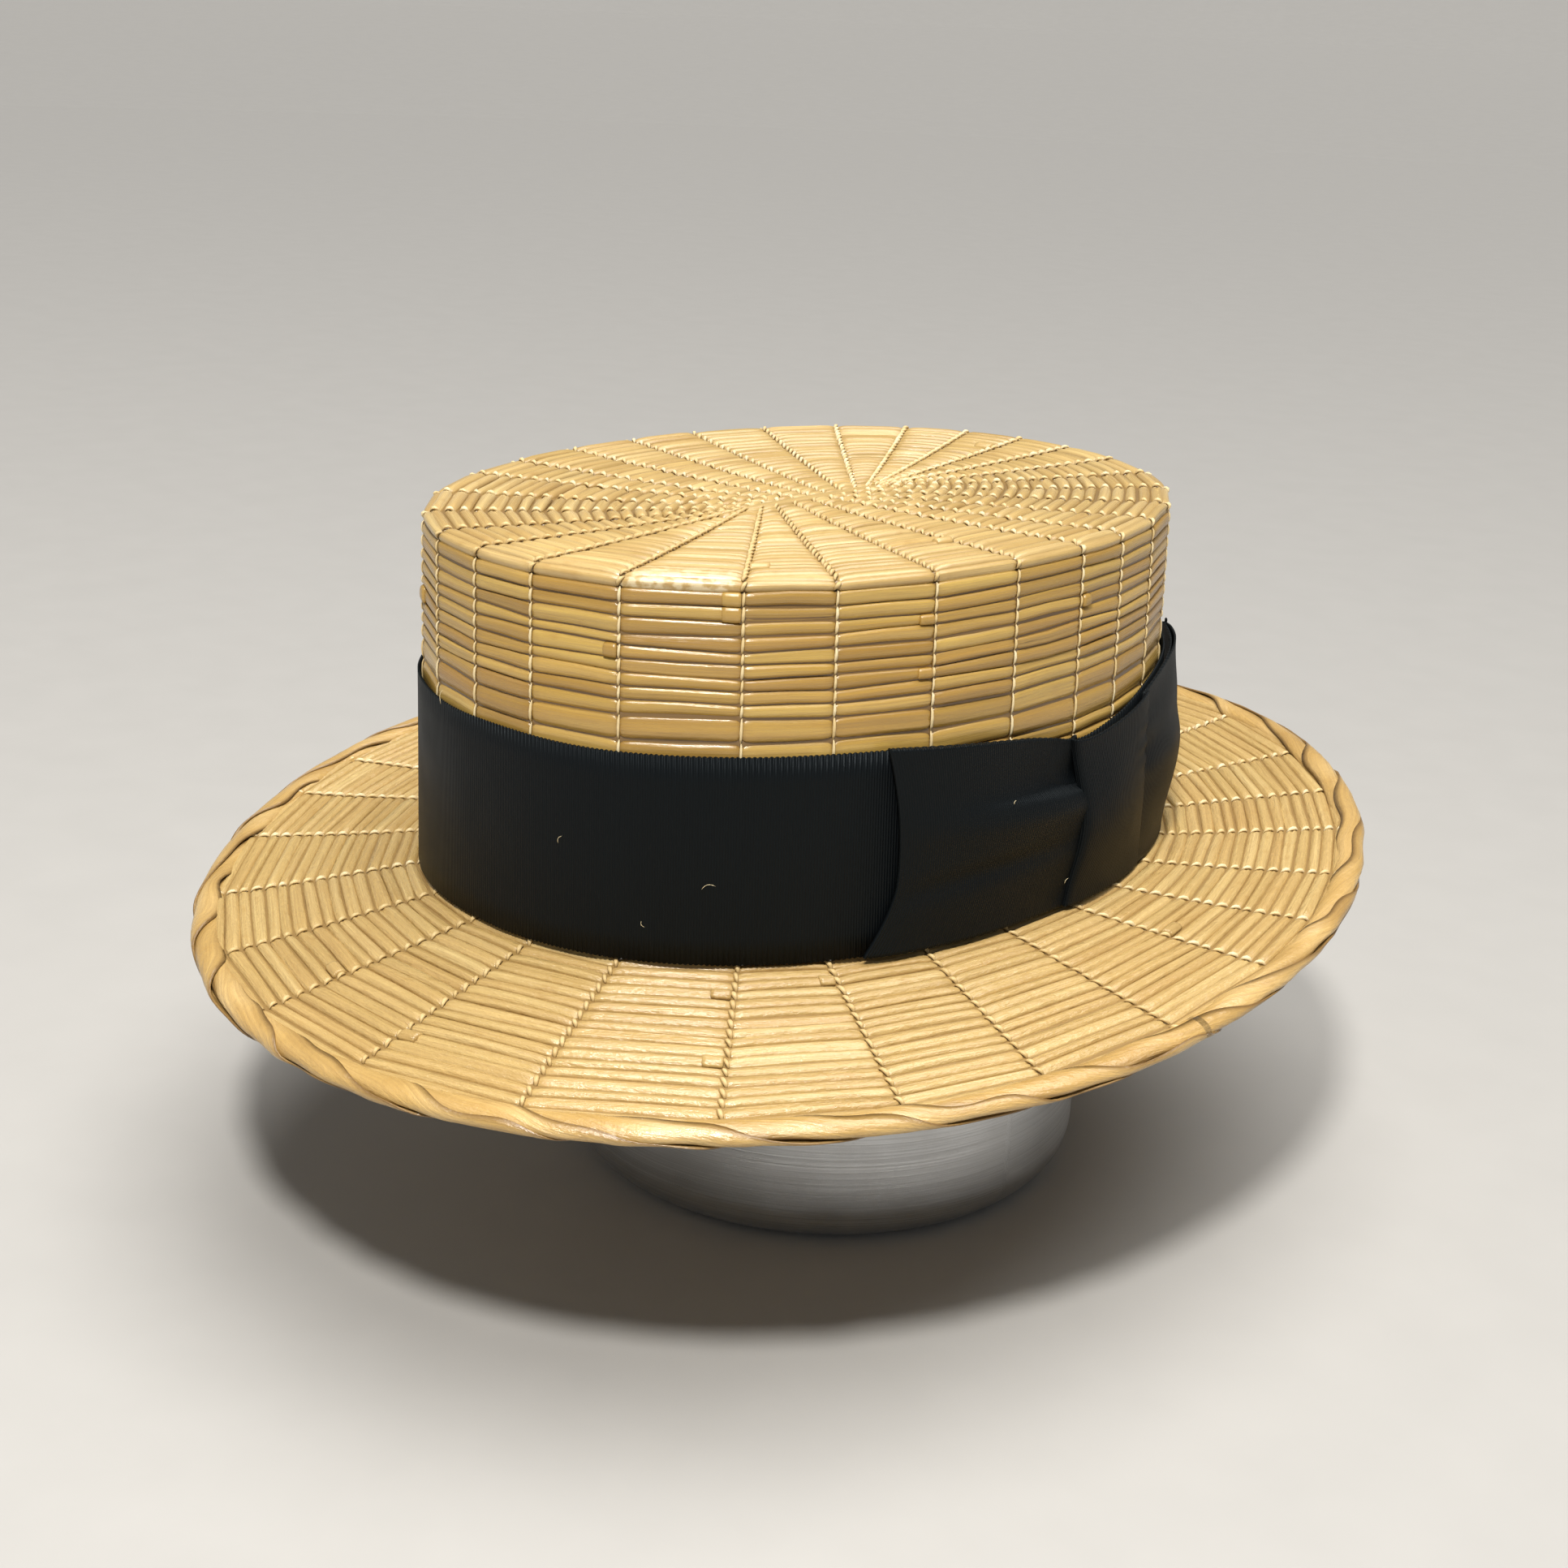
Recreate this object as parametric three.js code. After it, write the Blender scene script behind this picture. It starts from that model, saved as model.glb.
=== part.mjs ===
// A straw boater hat on a round metal stand.
// Millimetres, +Z up. The front of the hat is -Y, and the flat bow is on its left side, +X.
// The origin is on the hat's upright axis, at the level of the stand's underside.
//
// The hat is woven from flat straws that run straight from one stitched rib to the next, so every
// oval of the hat is a polygon with a corner at each rib. The two columns of RIBS say where each rib
// crosses the crown wall and where it reaches the edge of the brim.

import * as THREE from 'three';

// ---- Driving dimensions ----

const BRIM_LEVEL = 88; // height at which the crown wall meets the brim
const CROWN_HALF_WIDTH = 80.5;
const CROWN_HALF_LENGTH = 104;
const CROWN_HEIGHT = 90; // from the brim to the rim of the tip
const CROWN_NARROWING = 3; // the crown's half width is this much less at the tip
const OVAL_POWER = 2.13; // 2 is an ellipse, more is squarer
const STRAW = 2; // thickness of the woven straw wall
const GAP = 0.3; // clearance between neighbouring pieces
const WALL_START = 0.7; // height of the crown wall's foot over the brim, which rises at the back

const TIP_DISH = 1.5; // how far the tip sinks towards its middle
const TIP_SEAM_HALF_LENGTH = 24; // the weave of the tip starts from a line this long, along Y
const TIP_RINGS = [1, 0.8, 0.6, 0.4, 0.2, 0.05]; // 1 is the rim, 0 is the seam

const BRIM_WIDTH = 56.5; // with its twisted edge
const BRIM_RINGS = [0, 0.2, 0.4, 0.6, 0.8, 1]; // 0 is the crown, 1 is the twisted edge
const BRIM_SAG = -3.8; // mean height of the brim's edge over the crown's base
const BRIM_WAVES = [
  { turns: 1, cosine: -3.2, sine: 12.9 },
  { turns: 2, cosine: 0, sine: 0.8 },
  { turns: 3, cosine: -2.3, sine: -0.7 },
];

const EDGE_WIDTH = 8.6;
const EDGE_THICKNESS = 5.2;
const EDGE_SIDES = 10;
const EDGE_STEPS = 96;

const RIBBON_WIDTH = 50;
const RIBBON = 1; // thickness of the grosgrain ribbon
const RIBBON_START = 0.9; // height of its lower edge over the brim

const STAND_RADIUS = 66; // from its shoulder up
const STAND_FOOT_RADIUS = 69; // below its shoulder
const STAND_SHOULDER_LOW = 60; // heights between which it narrows
const STAND_SHOULDER_HIGH = 74;
const STAND_HEIGHT = 174;
const STAND_WALL = 1.5;
const STAND_CORNER = 12; // radius of the rounded edge at the foot
const STAND_OFFSET = 6.5; // the hat sits off the stand's centre by this much along X and along Y
const STAND_SIDES = 72;

// Rib angles in degrees, from +X towards +Y.
const RIBS = [
  { crown: -158, edge: -158 },
  { crown: -147, edge: -149 },
  { crown: -133, edge: -139 },
  { crown: -119, edge: -126 },
  { crown: -105, edge: -112.5 },
  { crown: -91.5, edge: -98.5 },
  { crown: -78, edge: -81.5 },
  { crown: -62.5, edge: -63 },
  { crown: -45, edge: -45.5 },
  { crown: -32.5, edge: -30 },
  { crown: -18.5, edge: -17 },
  { crown: -5, edge: -2 },
  { crown: 8, edge: 13 },
  { crown: 18, edge: 23 },
  { crown: 29, edge: 33 },
  { crown: 41, edge: 43 },
  { crown: 53, edge: 52 },
  { crown: 65, edge: 63 },
  { crown: 78, edge: 77 },
  { crown: 91, edge: 90 },
  { crown: 103, edge: 103 },
  { crown: 115, edge: 115 },
  { crown: 127, edge: 127 },
  { crown: 140, edge: 140 },
  { crown: 153, edge: 153 },
  { crown: 166, edge: 166 },
  { crown: 178, edge: 178 },
  { crown: 190, edge: 190 },
];

// ---- Ovals and heights ----

/** A point on an oval of the given half width (X) and half length (Y), at an angle in degrees. */
function ovalPoint(degrees, halfWidth, halfLength) {
  const c = Math.cos(THREE.MathUtils.degToRad(degrees));
  const s = Math.sin(THREE.MathUtils.degToRad(degrees));
  const reach = (Math.abs(c) ** OVAL_POWER + Math.abs(s) ** OVAL_POWER) ** (-1 / OVAL_POWER);
  return new THREE.Vector2(halfWidth * reach * c, halfLength * reach * s);
}

/** A point outside (or inside, if negative) the crown wall, at a height over the brim. */
function crownPoint(degrees, outwards, height) {
  const narrowing = (CROWN_NARROWING * height) / CROWN_HEIGHT;
  const halfWidth = CROWN_HALF_WIDTH - narrowing + outwards;
  const flat = ovalPoint(degrees, halfWidth, CROWN_HALF_LENGTH + outwards);
  return new THREE.Vector3(flat.x, flat.y, BRIM_LEVEL + height);
}

/** Height of the brim's edge over the crown's base, at an angle in degrees. */
function brimWave(degrees) {
  let height = BRIM_SAG;
  for (const wave of BRIM_WAVES) {
    const angle = wave.turns * THREE.MathUtils.degToRad(degrees);
    height += wave.cosine * Math.cos(angle) + wave.sine * Math.sin(angle);
  }
  return height;
}

/** A point of the brim on a rib: 0 is the crown's inner oval, 1 the outer limit of the woven brim. */
function brimPoint(rib, share, drop) {
  const inner = ovalPoint(rib.crown, CROWN_HALF_WIDTH - STRAW, CROWN_HALF_LENGTH - STRAW);
  const reach = BRIM_WIDTH - EDGE_WIDTH - GAP;
  const outer = ovalPoint(rib.edge, CROWN_HALF_WIDTH + reach, CROWN_HALF_LENGTH + reach);
  const flat = inner.lerp(outer, share);
  const degrees = THREE.MathUtils.lerp(rib.crown, rib.edge, share);
  const rise = (brimWave(degrees) * share * reach) / BRIM_WIDTH;
  return new THREE.Vector3(flat.x, flat.y, BRIM_LEVEL + rise - drop);
}

// ---- Closed solids from two facing grids of points ----

/**
 * Joins an outer and an inner grid of points, each an array of rows, into one closed body.
 * A wrapped grid closes on itself along its rows, as a ring does.
 */
function shellGeometry(outer, inner, wrapped) {
  const rows = outer.length;
  const columns = outer[0].length;
  const points = [...outer.flat(), ...inner.flat()];
  const at = (layer, row, column) => (layer * rows + row) * columns + (column % columns);
  const index = [];
  const quad = (a, b, c, d) => index.push(a, b, c, a, c, d);
  const spans = wrapped ? columns : columns - 1;
  for (let row = 0; row < rows - 1; row += 1) {
    for (let column = 0; column < spans; column += 1) {
      const next = column + 1;
      quad(at(0, row, column), at(0, row, next), at(0, row + 1, next), at(0, row + 1, column));
      quad(at(1, row, column), at(1, row + 1, column), at(1, row + 1, next), at(1, row, next));
    }
  }
  for (let column = 0; column < spans; column += 1) {
    const next = column + 1;
    quad(at(1, 0, column), at(1, 0, next), at(0, 0, next), at(0, 0, column));
    quad(at(0, rows - 1, column), at(0, rows - 1, next), at(1, rows - 1, next), at(1, rows - 1, column));
  }
  if (!wrapped) {
    for (let row = 0; row < rows - 1; row += 1) {
      const last = columns - 1;
      quad(at(0, row, 0), at(0, row + 1, 0), at(1, row + 1, 0), at(1, row, 0));
      quad(at(0, row, last), at(1, row, last), at(1, row + 1, last), at(0, row + 1, last));
    }
  }
  return indexedGeometry(points, index);
}

function indexedGeometry(points, index) {
  const geometry = new THREE.BufferGeometry();
  geometry.setAttribute(
    'position',
    new THREE.Float32BufferAttribute(points.flatMap((point) => [point.x, point.y, point.z]), 3),
  );
  geometry.setIndex(index);
  geometry.computeVertexNormals();
  return geometry;
}

// ---- Straw pieces ----

/** The tip: rings that shrink from the rim to the seam, a fan over the seam, and a short turned edge. */
function crownTipGeometry() {
  const ringPoint = (rib, share, drop) => {
    const halfWidth = (CROWN_HALF_WIDTH - CROWN_NARROWING) * share;
    const halfLength = THREE.MathUtils.lerp(TIP_SEAM_HALF_LENGTH, CROWN_HALF_LENGTH, share);
    const flat = ovalPoint(rib.crown, halfWidth, halfLength);
    const sink = TIP_DISH * (1 - share ** 2);
    return new THREE.Vector3(flat.x, flat.y, BRIM_LEVEL + CROWN_HEIGHT - sink - drop);
  };
  const points = [];
  for (const drop of [0, STRAW]) {
    for (const share of TIP_RINGS) {
      for (const rib of RIBS) points.push(ringPoint(rib, share, drop));
    }
    points.push(new THREE.Vector3(0, 0, BRIM_LEVEL + CROWN_HEIGHT - TIP_DISH - drop));
  }
  const count = RIBS.length;
  const layer = TIP_RINGS.length * count + 1;
  const index = [];
  const quad = (a, b, c, d) => index.push(a, b, c, a, c, d);
  for (let rib = 0; rib < count; rib += 1) {
    const next = (rib + 1) % count;
    quad(layer + rib, layer + next, next, rib);
    for (let ring = 0; ring < TIP_RINGS.length - 1; ring += 1) {
      const here = ring * count;
      const there = here + count;
      quad(here + rib, here + next, there + next, there + rib);
      quad(layer + here + rib, layer + there + rib, layer + there + next, layer + here + next);
    }
    const last = (TIP_RINGS.length - 1) * count;
    index.push(last + rib, last + next, layer - 1);
    index.push(layer + last + rib, 2 * layer - 1, layer + last + next);
  }
  return indexedGeometry(points, index);
}

/** A ring round the crown, between two distances outside its wall, with a row at each height. */
function crownRingGeometry(heights, outer, inner, fall = () => 0) {
  const grid = (outwards) =>
    heights.map((height) =>
      RIBS.map((rib) => {
        const lowered = height * (1 - fall(rib.crown) / RIBBON_WIDTH);
        return crownPoint(rib.crown, outwards, lowered);
      }),
    );
  return shellGeometry(grid(outer), grid(inner), true);
}

function crownWallGeometry() {
  return crownRingGeometry([WALL_START, 18, 36, 54, 72, CROWN_HEIGHT - STRAW - GAP], 0, -STRAW);
}

function brimGeometry() {
  const rows = (drop) => BRIM_RINGS.map((share) => RIBS.map((rib) => brimPoint(rib, share, drop)));
  return shellGeometry(rows(STRAW), rows(0), true);
}

/** The twisted edge: a flattened round section carried along the brim's outer oval. */
function brimEdgeGeometry() {
  const points = [];
  const index = [];
  const middle = BRIM_WIDTH - EDGE_WIDTH / 2;
  for (let step = 0; step < EDGE_STEPS; step += 1) {
    const degrees = (360 * step) / EDGE_STEPS;
    for (let side = 0; side < EDGE_SIDES; side += 1) {
      const turn = (2 * Math.PI * side) / EDGE_SIDES;
      const outwards = middle + (EDGE_WIDTH / 2) * Math.cos(turn);
      const flat = ovalPoint(degrees, CROWN_HALF_WIDTH + outwards, CROWN_HALF_LENGTH + outwards);
      const rise = (brimWave(degrees) * outwards) / BRIM_WIDTH - STRAW / 2;
      const height = BRIM_LEVEL + rise + (EDGE_THICKNESS / 2) * Math.sin(turn);
      points.push(new THREE.Vector3(flat.x, flat.y, height));
      const here = step * EDGE_SIDES;
      const there = ((step + 1) % EDGE_STEPS) * EDGE_SIDES;
      const next = (side + 1) % EDGE_SIDES;
      index.push(here + side, there + side, there + next, here + side, there + next, here + next);
    }
  }
  return indexedGeometry(points, index);
}

// ---- Ribbon pieces ----

// The knot draws the ribbon's upper edge down: how far, at angles round the crown.
const RIBBON_FALLS = [
  { degrees: -24, fall: 0.3 },
  { degrees: -14, fall: 2 },
  { degrees: -5, fall: 3.8 },
  { degrees: 1, fall: 5.6 },
  { degrees: 8, fall: 8.6 },
  { degrees: 13, fall: 7.6 },
  { degrees: 20, fall: 5.7 },
  { degrees: 28, fall: 2.5 },
  { degrees: 36, fall: 0.5 },
  { degrees: 42, fall: 0 },
];

function ribbonFall(degrees) {
  const last = RIBBON_FALLS[RIBBON_FALLS.length - 1];
  if (degrees <= RIBBON_FALLS[0].degrees - 8 || degrees >= last.degrees) {
    return 0;
  }
  const after = RIBBON_FALLS.find((row) => row.degrees > degrees);
  const before = RIBBON_FALLS[RIBBON_FALLS.indexOf(after) - 1] ?? { degrees: after.degrees - 8, fall: 0 };
  const share = (degrees - before.degrees) / (after.degrees - before.degrees);
  return THREE.MathUtils.lerp(before.fall, after.fall, share);
}

function ribbonBandGeometry() {
  const heights = [RIBBON_START, RIBBON_WIDTH / 2, RIBBON_WIDTH];
  return crownRingGeometry(heights, GAP + RIBBON, GAP, ribbonFall);
}

/**
 * A flat piece of the bow, lying on the band. Its sections go round the crown: each row of the table
 * says the angle at the middle of the height, how far both ends of that line lean, and how far the
 * outer face stands out from the band at the bottom, in the middle and at the top.
 */
function bowGeometry(sections, low, high) {
  const base = GAP + RIBBON + GAP;
  const shares = [0, 0.125, 0.25, 0.375, 0.5, 0.625, 0.75, 0.875, 1];
  const grid = (standOff) =>
    shares.map((share) =>
      sections.map((section) => {
        const bend = (2 * share - 1) ** 2;
        const degrees = section.degrees + section.lean * bend;
        const height = THREE.MathUtils.lerp(low, high - ribbonFall(section.degrees), share);
        return crownPoint(degrees, base + standOff(section, share), height);
      }),
    );
  const proud = (section, share) => {
    const half = share < 0.5 ? section.bottom : section.top;
    const blend = THREE.MathUtils.smoothstep(Math.abs(2 * share - 1), 0, 1);
    return THREE.MathUtils.lerp(section.middle, half, blend);
  };
  return shellGeometry(grid(proud), grid(() => 0), false);
}

const FRONT_LOOP = [
  { degrees: -23.5, lean: -2, bottom: 1.6, middle: 1.8, top: 1.6 },
  { degrees: -20, lean: -1.5, bottom: 2.2, middle: 2.8, top: 2.2 },
  { degrees: -14, lean: -1, bottom: 2.2, middle: 3.2, top: 2.2 },
  { degrees: -8, lean: -0.5, bottom: 2.2, middle: 3.6, top: 2.2 },
  { degrees: -2, lean: 0, bottom: 2.2, middle: 4, top: 2.2 },
  { degrees: 4, lean: -0.6, bottom: 1.8, middle: 4.2, top: 1.8 },
  { degrees: 9, lean: -1.8, bottom: 1.6, middle: 4, top: 1.6 },
];
const KNOT = [
  { degrees: 9.4, lean: -1.8, bottom: 3, middle: 4.4, top: 3 },
  { degrees: 11, lean: -1.6, bottom: 4.6, middle: 5.4, top: 4.6 },
  { degrees: 14, lean: -1, bottom: 4.8, middle: 5.4, top: 4.8 },
  { degrees: 18, lean: 0, bottom: 4.6, middle: 5, top: 4.6 },
  { degrees: 22, lean: 0.6, bottom: 3.6, middle: 4, top: 3.6 },
  { degrees: 24, lean: 1, bottom: 2.6, middle: 3.2, top: 2.6 },
];
const BACK_LOOP = [
  { degrees: 24.4, lean: 1, bottom: 1.8, middle: 2.4, top: 1.8 },
  { degrees: 29, lean: 1, bottom: 2.4, middle: 4, top: 2.4 },
  { degrees: 35, lean: 1, bottom: 2.6, middle: 5, top: 2.8 },
  { degrees: 41, lean: 1.4, bottom: 2.6, middle: 5.2, top: 3.2 },
  { degrees: 47, lean: 1.8, bottom: 2.4, middle: 4.6, top: 3 },
  { degrees: 52, lean: 2, bottom: 2.2, middle: 3.2, top: 2.4 },
  { degrees: 54.5, lean: 2, bottom: 1.4, middle: 1.8, top: 1.4 },
];

// ---- Stand ----

/** A plain spun cup with a rounded foot, open at the top, where the hat's tip rests on its rim. */
function standGeometry() {
  const cornerPoints = (radius) =>
    [0, 1, 2, 3, 4, 5, 6].map((step) => {
      const turn = (step / 6) * (Math.PI / 2);
      const x = STAND_FOOT_RADIUS - STAND_CORNER + radius * Math.sin(turn);
      return new THREE.Vector2(x, STAND_CORNER - radius * Math.cos(turn));
    });
  const profile = [
    new THREE.Vector2(0, 0),
    ...cornerPoints(STAND_CORNER),
    new THREE.Vector2(STAND_FOOT_RADIUS, STAND_SHOULDER_LOW),
    new THREE.Vector2(STAND_RADIUS, STAND_SHOULDER_HIGH),
    new THREE.Vector2(STAND_RADIUS, STAND_HEIGHT),
    new THREE.Vector2(STAND_RADIUS - STAND_WALL, STAND_HEIGHT),
    new THREE.Vector2(STAND_RADIUS - STAND_WALL, STAND_SHOULDER_HIGH),
    new THREE.Vector2(STAND_FOOT_RADIUS - STAND_WALL, STAND_SHOULDER_LOW),
    ...cornerPoints(STAND_CORNER - STAND_WALL).reverse(),
    new THREE.Vector2(0, STAND_WALL),
  ];
  return new THREE.LatheGeometry(profile, STAND_SIDES).rotateX(Math.PI / 2);
}

// ---- Assembly ----

function strawMaterial() {
  return new THREE.MeshStandardMaterial({ color: 0xcfa866, roughness: 0.45, metalness: 0 });
}

function ribbonMaterial() {
  return new THREE.MeshStandardMaterial({ color: 0x14181a, roughness: 0.8, metalness: 0 });
}

function metalMaterial() {
  return new THREE.MeshStandardMaterial({ color: 0xb4b6ba, roughness: 0.35, metalness: 1 });
}

function part(name, geometry, material) {
  const mesh = new THREE.Mesh(geometry, material);
  mesh.name = name;
  return mesh;
}

const BOW_LOW = 1.2; // heights of the bow's lower and upper edge over the brim
const BOW_HIGH = 51;

const stand = part('stand', standGeometry(), metalMaterial());
stand.position.set(STAND_OFFSET, STAND_OFFSET, 0);

const hat = new THREE.Group();
hat.add(
  part('crown_tip', crownTipGeometry(), strawMaterial()),
  part('crown_wall', crownWallGeometry(), strawMaterial()),
  part('brim', brimGeometry(), strawMaterial()),
  part('brim_edge', brimEdgeGeometry(), strawMaterial()),
  part('ribbon_band', ribbonBandGeometry(), ribbonMaterial()),
  part('bow_front_loop', bowGeometry(FRONT_LOOP, BOW_LOW, BOW_HIGH), ribbonMaterial()),
  part('bow_knot', bowGeometry(KNOT, BOW_LOW, BOW_HIGH), ribbonMaterial()),
  part('bow_back_loop', bowGeometry(BACK_LOOP, BOW_LOW, BOW_HIGH), ribbonMaterial()),
);

const group = new THREE.Group();
group.add(stand, hat);

export default group;
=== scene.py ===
"""A straw boater hat on a round metal stand.

The hat is woven from flat straws. Each straw runs straight from one rib of stitches to the next, and the
rows lie side by side: up the crown wall, round its rim, over the tip to a short seam, and out over the
brim to a twisted edge. Lengths here are millimetres, and become metres when a mesh is made.
The front of the hat is -Y, and the flat bow is on +X.
"""

import math
from collections import namedtuple

import bpy
import numpy as np
from mathutils import Matrix, Vector


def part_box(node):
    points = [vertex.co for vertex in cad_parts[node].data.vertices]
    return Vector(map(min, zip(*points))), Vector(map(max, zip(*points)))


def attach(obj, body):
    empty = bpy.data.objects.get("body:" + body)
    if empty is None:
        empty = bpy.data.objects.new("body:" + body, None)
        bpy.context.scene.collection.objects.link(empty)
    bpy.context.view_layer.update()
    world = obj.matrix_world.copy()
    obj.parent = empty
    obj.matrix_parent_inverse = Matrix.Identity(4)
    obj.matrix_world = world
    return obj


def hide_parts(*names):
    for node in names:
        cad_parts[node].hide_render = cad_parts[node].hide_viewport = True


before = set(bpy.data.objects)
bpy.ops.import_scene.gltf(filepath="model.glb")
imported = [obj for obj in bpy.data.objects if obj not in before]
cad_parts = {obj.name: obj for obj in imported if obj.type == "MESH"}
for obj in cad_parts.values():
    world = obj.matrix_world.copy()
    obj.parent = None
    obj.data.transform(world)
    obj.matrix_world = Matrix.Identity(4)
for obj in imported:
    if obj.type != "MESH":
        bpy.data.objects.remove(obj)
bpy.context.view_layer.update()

MM = 0.001
rng = np.random.default_rng(1907)


def box_mm(node):
    """Lowest and highest corner of a CAD node, in millimetres."""
    low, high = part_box(node)
    return np.array(low) / MM, np.array(high) / MM


# ---- Sizes from the frame ----

WALL_START = 0.7  # the crown wall's foot stands this much over the brim
wall_low, wall_high = box_mm("crown_wall")
_, tip_high = box_mm("crown_tip")
_, edge_high = box_mm("brim_edge")
band_low, band_high = box_mm("ribbon_band")
stand_low, stand_high = box_mm("stand")

BRIM_LEVEL = wall_low[2] - WALL_START
CROWN_HEIGHT = tip_high[2] - BRIM_LEVEL
CROWN_HALF_WIDTH = wall_high[0]
CROWN_HALF_LENGTH = wall_high[1]
TIP_HALF_WIDTH = tip_high[0]
BRIM_WIDTH = edge_high[0] - CROWN_HALF_WIDTH
RIBBON_TOP = band_high[2] - BRIM_LEVEL
RIBBON_FOOT = band_low[2] - BRIM_LEVEL
STAND_FOOT_RADIUS = (stand_high[0] - stand_low[0]) / 2
STAND_CENTRE = (stand_low + stand_high) / 2

# ---- Sizes of the hat's own shape, as in the CAD source ----

OVAL_POWER = 2.13
TIP_DISH = 1.5
SEAM_HALF_LENGTH = 24
RIM_RADIUS = 2.6
EDGE_WIDTH = 8.6
EDGE_THICKNESS = 5.2
STRAW = 2.0
BRIM_SAG = -3.8
Wave = namedtuple("Wave", "turns cosine sine")
BRIM_WAVES = [Wave(1, -3.2, 12.9), Wave(2, 0, 0.8), Wave(3, -2.3, -0.7)]

# Angles in degrees, from +X towards +Y, at which each rib crosses the crown wall and meets the brim's edge.
Rib = namedtuple("Rib", "crown edge")
RIBS = [
    Rib(-158, -158),
    Rib(-147, -149),
    Rib(-133, -139),
    Rib(-119, -126),
    Rib(-105, -112.5),
    Rib(-91.5, -98.5),
    Rib(-78, -81.5),
    Rib(-62.5, -63),
    Rib(-45, -45.5),
    Rib(-32.5, -30),
    Rib(-18.5, -17),
    Rib(-5, -2),
    Rib(8, 13),
    Rib(18, 23),
    Rib(29, 33),
    Rib(41, 43),
    Rib(53, 52),
    Rib(65, 63),
    Rib(78, 77),
    Rib(91, 90),
]
RIBS += [Rib(degrees, degrees) for degrees in (103, 115, 127, 140, 153, 166, 178, 190)]
SECTORS = len(RIBS)
CROWN_DEGREES = np.array([rib.crown for rib in RIBS], float)
EDGE_DEGREES = np.array([rib.edge for rib in RIBS], float)


# ---- The hat's surfaces ----


def joined(*coordinates):
    """Points, or UVs, from coordinates of shapes that match."""
    return np.stack(np.broadcast_arrays(*coordinates), axis=-1)


def oval(degrees, half_width, half_length):
    """Points on an oval with those half axes along X and Y."""
    angle = np.radians(degrees)
    c, s = np.cos(angle), np.sin(angle)
    reach = (np.abs(c) ** OVAL_POWER + np.abs(s) ** OVAL_POWER) ** (-1 / OVAL_POWER)
    return half_width * reach * c, half_length * reach * s


def brim_wave(degrees):
    """Height of the brim's edge over the crown's base."""
    height = np.full(np.shape(degrees), BRIM_SAG, float)
    for wave in BRIM_WAVES:
        angle = wave.turns * np.radians(degrees)
        height += wave.cosine * np.cos(angle) + wave.sine * np.sin(angle)
    return height


WALL_RUN = CROWN_HEIGHT - RIM_RADIUS
RIM_RUN = RIM_RADIUS * math.pi / 2
TIP_RUN = TIP_HALF_WIDTH - RIM_RADIUS


def crown_at(degrees, run):
    """A point of the crown's outer face: run goes up the wall, round the rim and in over the tip."""
    turn = np.clip((run - WALL_RUN) / RIM_RADIUS, 0, math.pi / 2)
    height = np.minimum(run, WALL_RUN) + RIM_RADIUS * np.sin(turn)
    inwards = RIM_RADIUS * (1 - np.cos(turn)) + np.maximum(run - WALL_RUN - RIM_RUN, 0)
    share = np.maximum(1 - inwards / TIP_HALF_WIDTH, 0)
    narrowing = (CROWN_HALF_WIDTH - TIP_HALF_WIDTH) * height / CROWN_HEIGHT
    half_width = (CROWN_HALF_WIDTH - narrowing) * share
    half_length = SEAM_HALF_LENGTH + (CROWN_HALF_LENGTH - SEAM_HALF_LENGTH) * share
    x, y = oval(degrees, half_width, half_length)
    z = BRIM_LEVEL + height - TIP_DISH * (1 - share**2)
    return joined(x, y, z)


def crown_rib(rib, run):
    return crown_at(CROWN_DEGREES[rib], run)


def brim_rib(rib, run):
    """A point of the brim's upper face on a rib: run is 0 at the crown and BRIM_WIDTH at the edge."""
    share = run / BRIM_WIDTH
    x0, y0 = oval(CROWN_DEGREES[rib], CROWN_HALF_WIDTH, CROWN_HALF_LENGTH)
    x1, y1 = oval(
        EDGE_DEGREES[rib], CROWN_HALF_WIDTH + BRIM_WIDTH, CROWN_HALF_LENGTH + BRIM_WIDTH
    )
    degrees = CROWN_DEGREES[rib] * (1 - share) + EDGE_DEGREES[rib] * share
    z = BRIM_LEVEL + brim_wave(degrees) * share
    return joined(x0 + (x1 - x0) * share, y0 + (y1 - y0) * share, z)


def unit(vectors):
    return vectors / np.maximum(np.linalg.norm(vectors, axis=-1, keepdims=True), 1e-9)


# Half a straw's outline and its flatter inner face: across is -0.5 to 0.5, lift is -1 to 1, and grime is
# how much painted shade darkens it: most in the crack beside the next straw, less on its sloping flanks and
# over its inner face.
ACROSS = np.array([-0.5, -0.41, -0.22, 0, 0.22, 0.41, 0.5, 0.3, 0, -0.3])
Outline = namedtuple("Outline", "lift grime")
FLAT = Outline(
    np.array([-0.1, 0.62, 0.92, 1, 0.92, 0.62, -0.1, -0.85, -1, -0.85]),
    np.array([1, 0.18, 0, 0, 0, 0.18, 1, 0.4, 0.3, 0.4]),
)
ROUND = Outline(
    np.array([-0.1, 0.5, 0.87, 1, 0.87, 0.5, -0.1, -0.85, -1, -0.85]),
    np.array([1, 0.5, 0.14, 0, 0.14, 0.5, 1, 0.4, 0.3, 0.4]),
)

# A woven surface: where a rib is, which way is out, its rows' boundaries, and its straws: width as a share
# of a row, height and drop in millimetres, and how uneven, varied, darkened with painted shade between,
# creased and pinched.
Weave = namedtuple(
    "Weave",
    "name rib outwards rows outline width height drop wobble variety cracks creased pinch thread",
)
Thread = namedtuple("Thread", "width height sink slant length")
WIDEST_ROWS = (-3.2, 2.6, 8.2)  # where the two widest rows begin and end, over the ribbon's upper edge


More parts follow.
